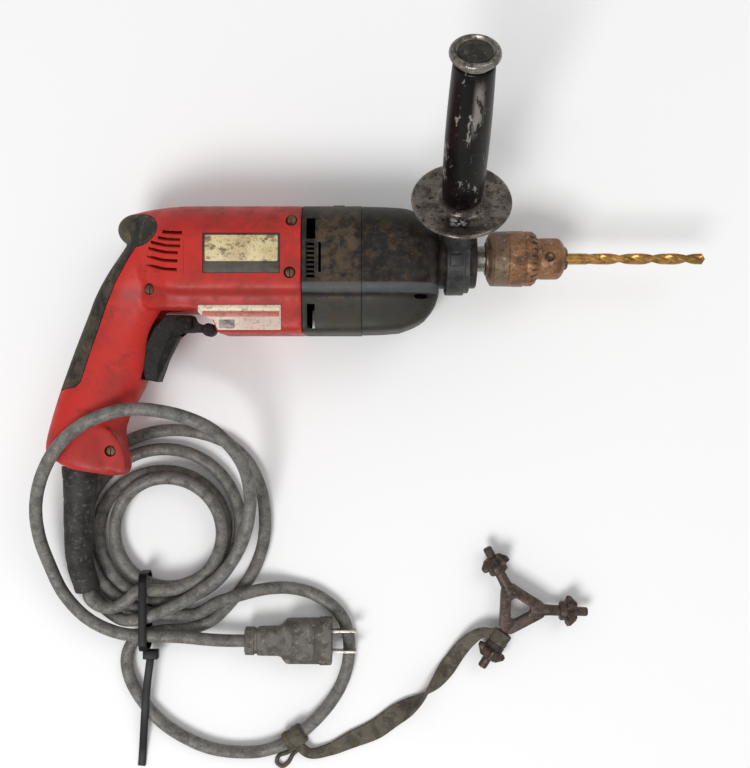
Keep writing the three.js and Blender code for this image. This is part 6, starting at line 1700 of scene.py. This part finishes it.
class DRILL_OT_key(Operator):
    """The three-headed chuck key and the rubber strap that ties it to the cord"""
    bl_idname = "drill.key"
    bl_label = "Key and strap"

    def execute(self, context):
        centre = Vector(KEY_CENTRE)
        arms = []
        for i in range(3):
            angle = KEY_TURN + i * 2 * math.pi / 3
            arms.append(Vector((math.cos(angle), math.sin(angle), 0)))
        self.key(centre, arms)

        strap = self.band(context.scene.drill_cord.strap_width / MM / 2)
        run = smooth_path([*RUN_ROUTE], 12)
        x, y = WRAP_NEAR
        near = min(range(len(run)), key=lambda k: (run[k].x - x) ** 2 + (run[k].y - y) ** 2)
        way = run[near + 2] - run[near - 2]
        wrap = collar_round("strap_wrap", run[near], way, 4.25, 6.2, 13, 0.25)
        turns = [self.strap_turn(turn, run[near], way.normalized(), offset) for turn, offset in TURN_PLACES]
        loop_path = smooth_path(LOOP_ROUTE, 8)
        loop = tube("strap_loop", loop_path, [LOOP_RADIUS] * len(loop_path), 16)
        hold = collar_round("strap_hold", centre + arms[2] * 21.5, arms[2], 3.8, 5.9, 8, 0.15)
        join(strap, loop)
        rubber = rough_rubber("strap_rubber", (92, 85, 74), (66, 59, 50), (120, 112, 96))
        finish(strap, "drill_body", rubber, ["key_strap"], 45)
        for piece in (wrap, hold, *turns):
            finish(piece, "drill_body", rubber, angle=50)
        return {"FINISHED"}

    def key(self, centre, arms):
        web = rounded(self.web(centre, arms, KEY_WEB), 3.0, 5)
        hole = rounded(self.web(centre, arms, KEY_HOLE), 1.0, 4)
        key = prism("key_body", web, centre.z - KEY_HALF, centre.z + KEY_HALF)
        cut(key, prism("key_hole", hole, centre.z - 8, centre.z + 8))
        soften(key, 1.1, 3, 50)
        for way in arms:
            path = [centre + way * out for out, _ in KEY_ARM]
            arm = tube("arm", path, [radius for _, radius in KEY_ARM], 28)
            matrix = Matrix.Translation(centre) @ Matrix.Rotation(math.atan2(way.y, way.x), 4, "Z")
            collar = revolve("collar", KEY_COLLAR, 32, matrix)
            head = []
            for x, tip, root in KEY_HEAD:
                ring = []
                for k, angle in enumerate(turn_angles(KEY_TEETH * len(TOOTH_WAVE))):
                    radius = root + (tip - root) * TOOTH_WAVE[k % len(TOOTH_WAVE)]
                    ring.append(matrix @ Vector((x, radius * math.cos(angle), radius * math.sin(angle))))
                head.append(ring)
            join(key, arm, collar, skin("head", head), revolve("pilot", KEY_PILOT, 28, matrix))
        iron = worn_metal("key_iron", (84, 68, 60), (54, 44, 40), (124, 108, 96), 0.5, 0.45, 0.9)
        finish(key, "drill_body", iron, ["chuck_key"], 38)

    def web(self, centre, arms, radius):
        """A three-cornered outline with a flat end toward each arm."""
        outline = []
        for way in arms:
            for side in (-1, 1):
                angle = math.atan2(way.y, way.x) + side * KEY_SPREAD
                outline.append((centre.x + math.cos(angle) * radius, centre.y + math.sin(angle) * radius))
        return outline

    def band(self, half):
        """The strap from the cord to the key, which turns over once on its way."""
        route = smooth_path([point[:3] for point in STRAP_ROUTE], 8)
        rings = []
        last = len(STRAP_ROUTE) - 1
        for i, way in enumerate(ways_along(route)):
            spot = min(i / (len(route) - 1) * last, last - 1e-6)
            before = int(spot)
            blend = spot - before
            roll_degrees, width_share = [
                STRAP_ROUTE[before][k] * (1 - blend) + STRAP_ROUTE[before + 1][k] * blend for k in (3, 4)
            ]
            roll = math.radians(roll_degrees)
            width, thick = half * width_share, STRAP_HALF_THICKNESS
            level = way.cross(UP).normalized()
            over = level.cross(way)
            across = level * math.cos(roll) + over * math.sin(roll)
            through = over * math.cos(roll) - level * math.sin(roll)
            section = rounded([(-width, -thick), (width, -thick), (width, thick), (-width, thick)], 0.8, 3)
            rings.append([route[i] + across * a + through * b for a, b in section])
        return skin("strap_band", rings)

    def strap_turn(self, turn, centre, way, offset):
        """One turn of the strap round the wrap on the cord."""
        level = UP.cross(way).normalized()
        path = []
        for k in range(TURN_STEPS + 1):
            a = 2 * math.pi * k / TURN_STEPS
            out = (level * math.cos(a) + UP * math.sin(a)) * TURN_RADIUS
            path.append(centre + out + way * (offset + TURN_LEAN * math.sin(a / 2)))
        return tube(f"strap_turn_{turn}", path, [TURN_THICK] * len(path), 12)


# Pieces inside

# Name, base, dark and pale colour, roughness, metallic and grain
INNER_METALS = {
    "steel": ("machined_steel", (150, 146, 140), (112, 106, 98), (190, 186, 180), 0.32, 0.95),
    "laminations": ("core_sheet", (96, 96, 100), (66, 64, 64), (128, 128, 130), 0.45, 0.9, 0.4),
    "copper": ("copper_bars", (184, 115, 69), (128, 74, 44), (216, 150, 100), 0.3, 0.95, 0.4),
    "brass": ("holder_brass", (184, 151, 74), (138, 108, 52), (214, 186, 118), 0.35, 0.9),
    "cast_case": ("inner_cast", (120, 118, 114), (84, 82, 78), (152, 150, 144), 0.5, 0.7),
}
# Name, base, dark and pale colour, and grain
INNER_DARK = {
    "carbon": ("brush_carbon", (44, 44, 44), (30, 30, 30), (70, 70, 70), 0.5),
    "black_plastic": ("inner_black", (38, 37, 36), (28, 27, 26), (62, 60, 56), 0.6),
}
INNER_NODES = (
    "armature_shaft", "armature_core", "commutator", "motor_rear_bearing", "motor_front_bearing",
    "field_core", "brush_right", "brush_holder_right", "brush_left", "brush_holder_left", "fan",
    "bearing_plate", "intermediate_shaft", "intermediate_gear", "spindle_gear", "spindle",
    "spindle_rear_bearing", "spindle_front_bearing", "ratchet_fixed", "ratchet_spindle",
    "hammer_spring", "cord_clamp",
)


class DRILL_OT_inside(Operator):
    """Finishes of the motor, gears and other pieces inside the housing"""
    bl_idname = "drill.inside"
    bl_label = "Inside"

    def execute(self, context):
        looks = {slot: worn_metal(*row) for slot, row in INNER_METALS.items()}
        looks.update({slot: rough_rubber(*row) for slot, row in INNER_DARK.items()})
        slots = {row["node"]: row["material_slot"] for row in frame["record"]["subparts"]}
        for node in INNER_NODES:
            repaint(node, looks[slots[node]])
        return {"FINISHED"}


class DRILL_PT_panel(Panel):
    """Lists the pieces of the drill"""
    bl_idname = "DRILL_PT_panel"
    bl_label = "Hammer Drill"
    bl_space_type = "VIEW_3D"
    bl_region_type = "UI"
    bl_category = "Drill"

    def draw(self, context):
        for operator in OPERATORS:
            self.layout.operator(operator.bl_idname)
        for name in SETTINGS:
            box = self.layout.box()
            settings = getattr(context.scene, name)
            for prop in SETTINGS[name].__annotations__:
                box.prop(settings, prop)


SETTINGS = {
    "drill_housing": DrillHousingSettings,
    "drill_chuck": DrillChuckSettings,
    "drill_side_handle": DrillSideHandleSettings,
    "drill_cord": DrillCordSettings,
    "drill_finish": DrillFinishSettings,
    "drill_stage": DrillStageSettings,
}
OPERATORS = (
    DRILL_OT_stage, DRILL_OT_key, DRILL_OT_cord, DRILL_OT_housing, DRILL_OT_controls, DRILL_OT_gearcase,
    DRILL_OT_side_handle, DRILL_OT_chuck, DRILL_OT_inside,
)


def register():
    for name, group in SETTINGS.items():
        bpy.utils.register_class(group)
        setattr(bpy.types.Scene, name, PointerProperty(type=group))
    for operator in OPERATORS:
        bpy.utils.register_class(operator)
    bpy.utils.register_class(DRILL_PT_panel)


def unregister():
    bpy.utils.unregister_class(DRILL_PT_panel)
    for operator in reversed(OPERATORS):
        bpy.utils.unregister_class(operator)
    for name, group in SETTINGS.items():
        delattr(bpy.types.Scene, name)
        bpy.utils.unregister_class(group)


def main():
    register()
    for operator in OPERATORS:
        group, name = operator.bl_idname.split(".")
        getattr(getattr(bpy.ops, group), name)()


if __name__ == "__main__":
    main()
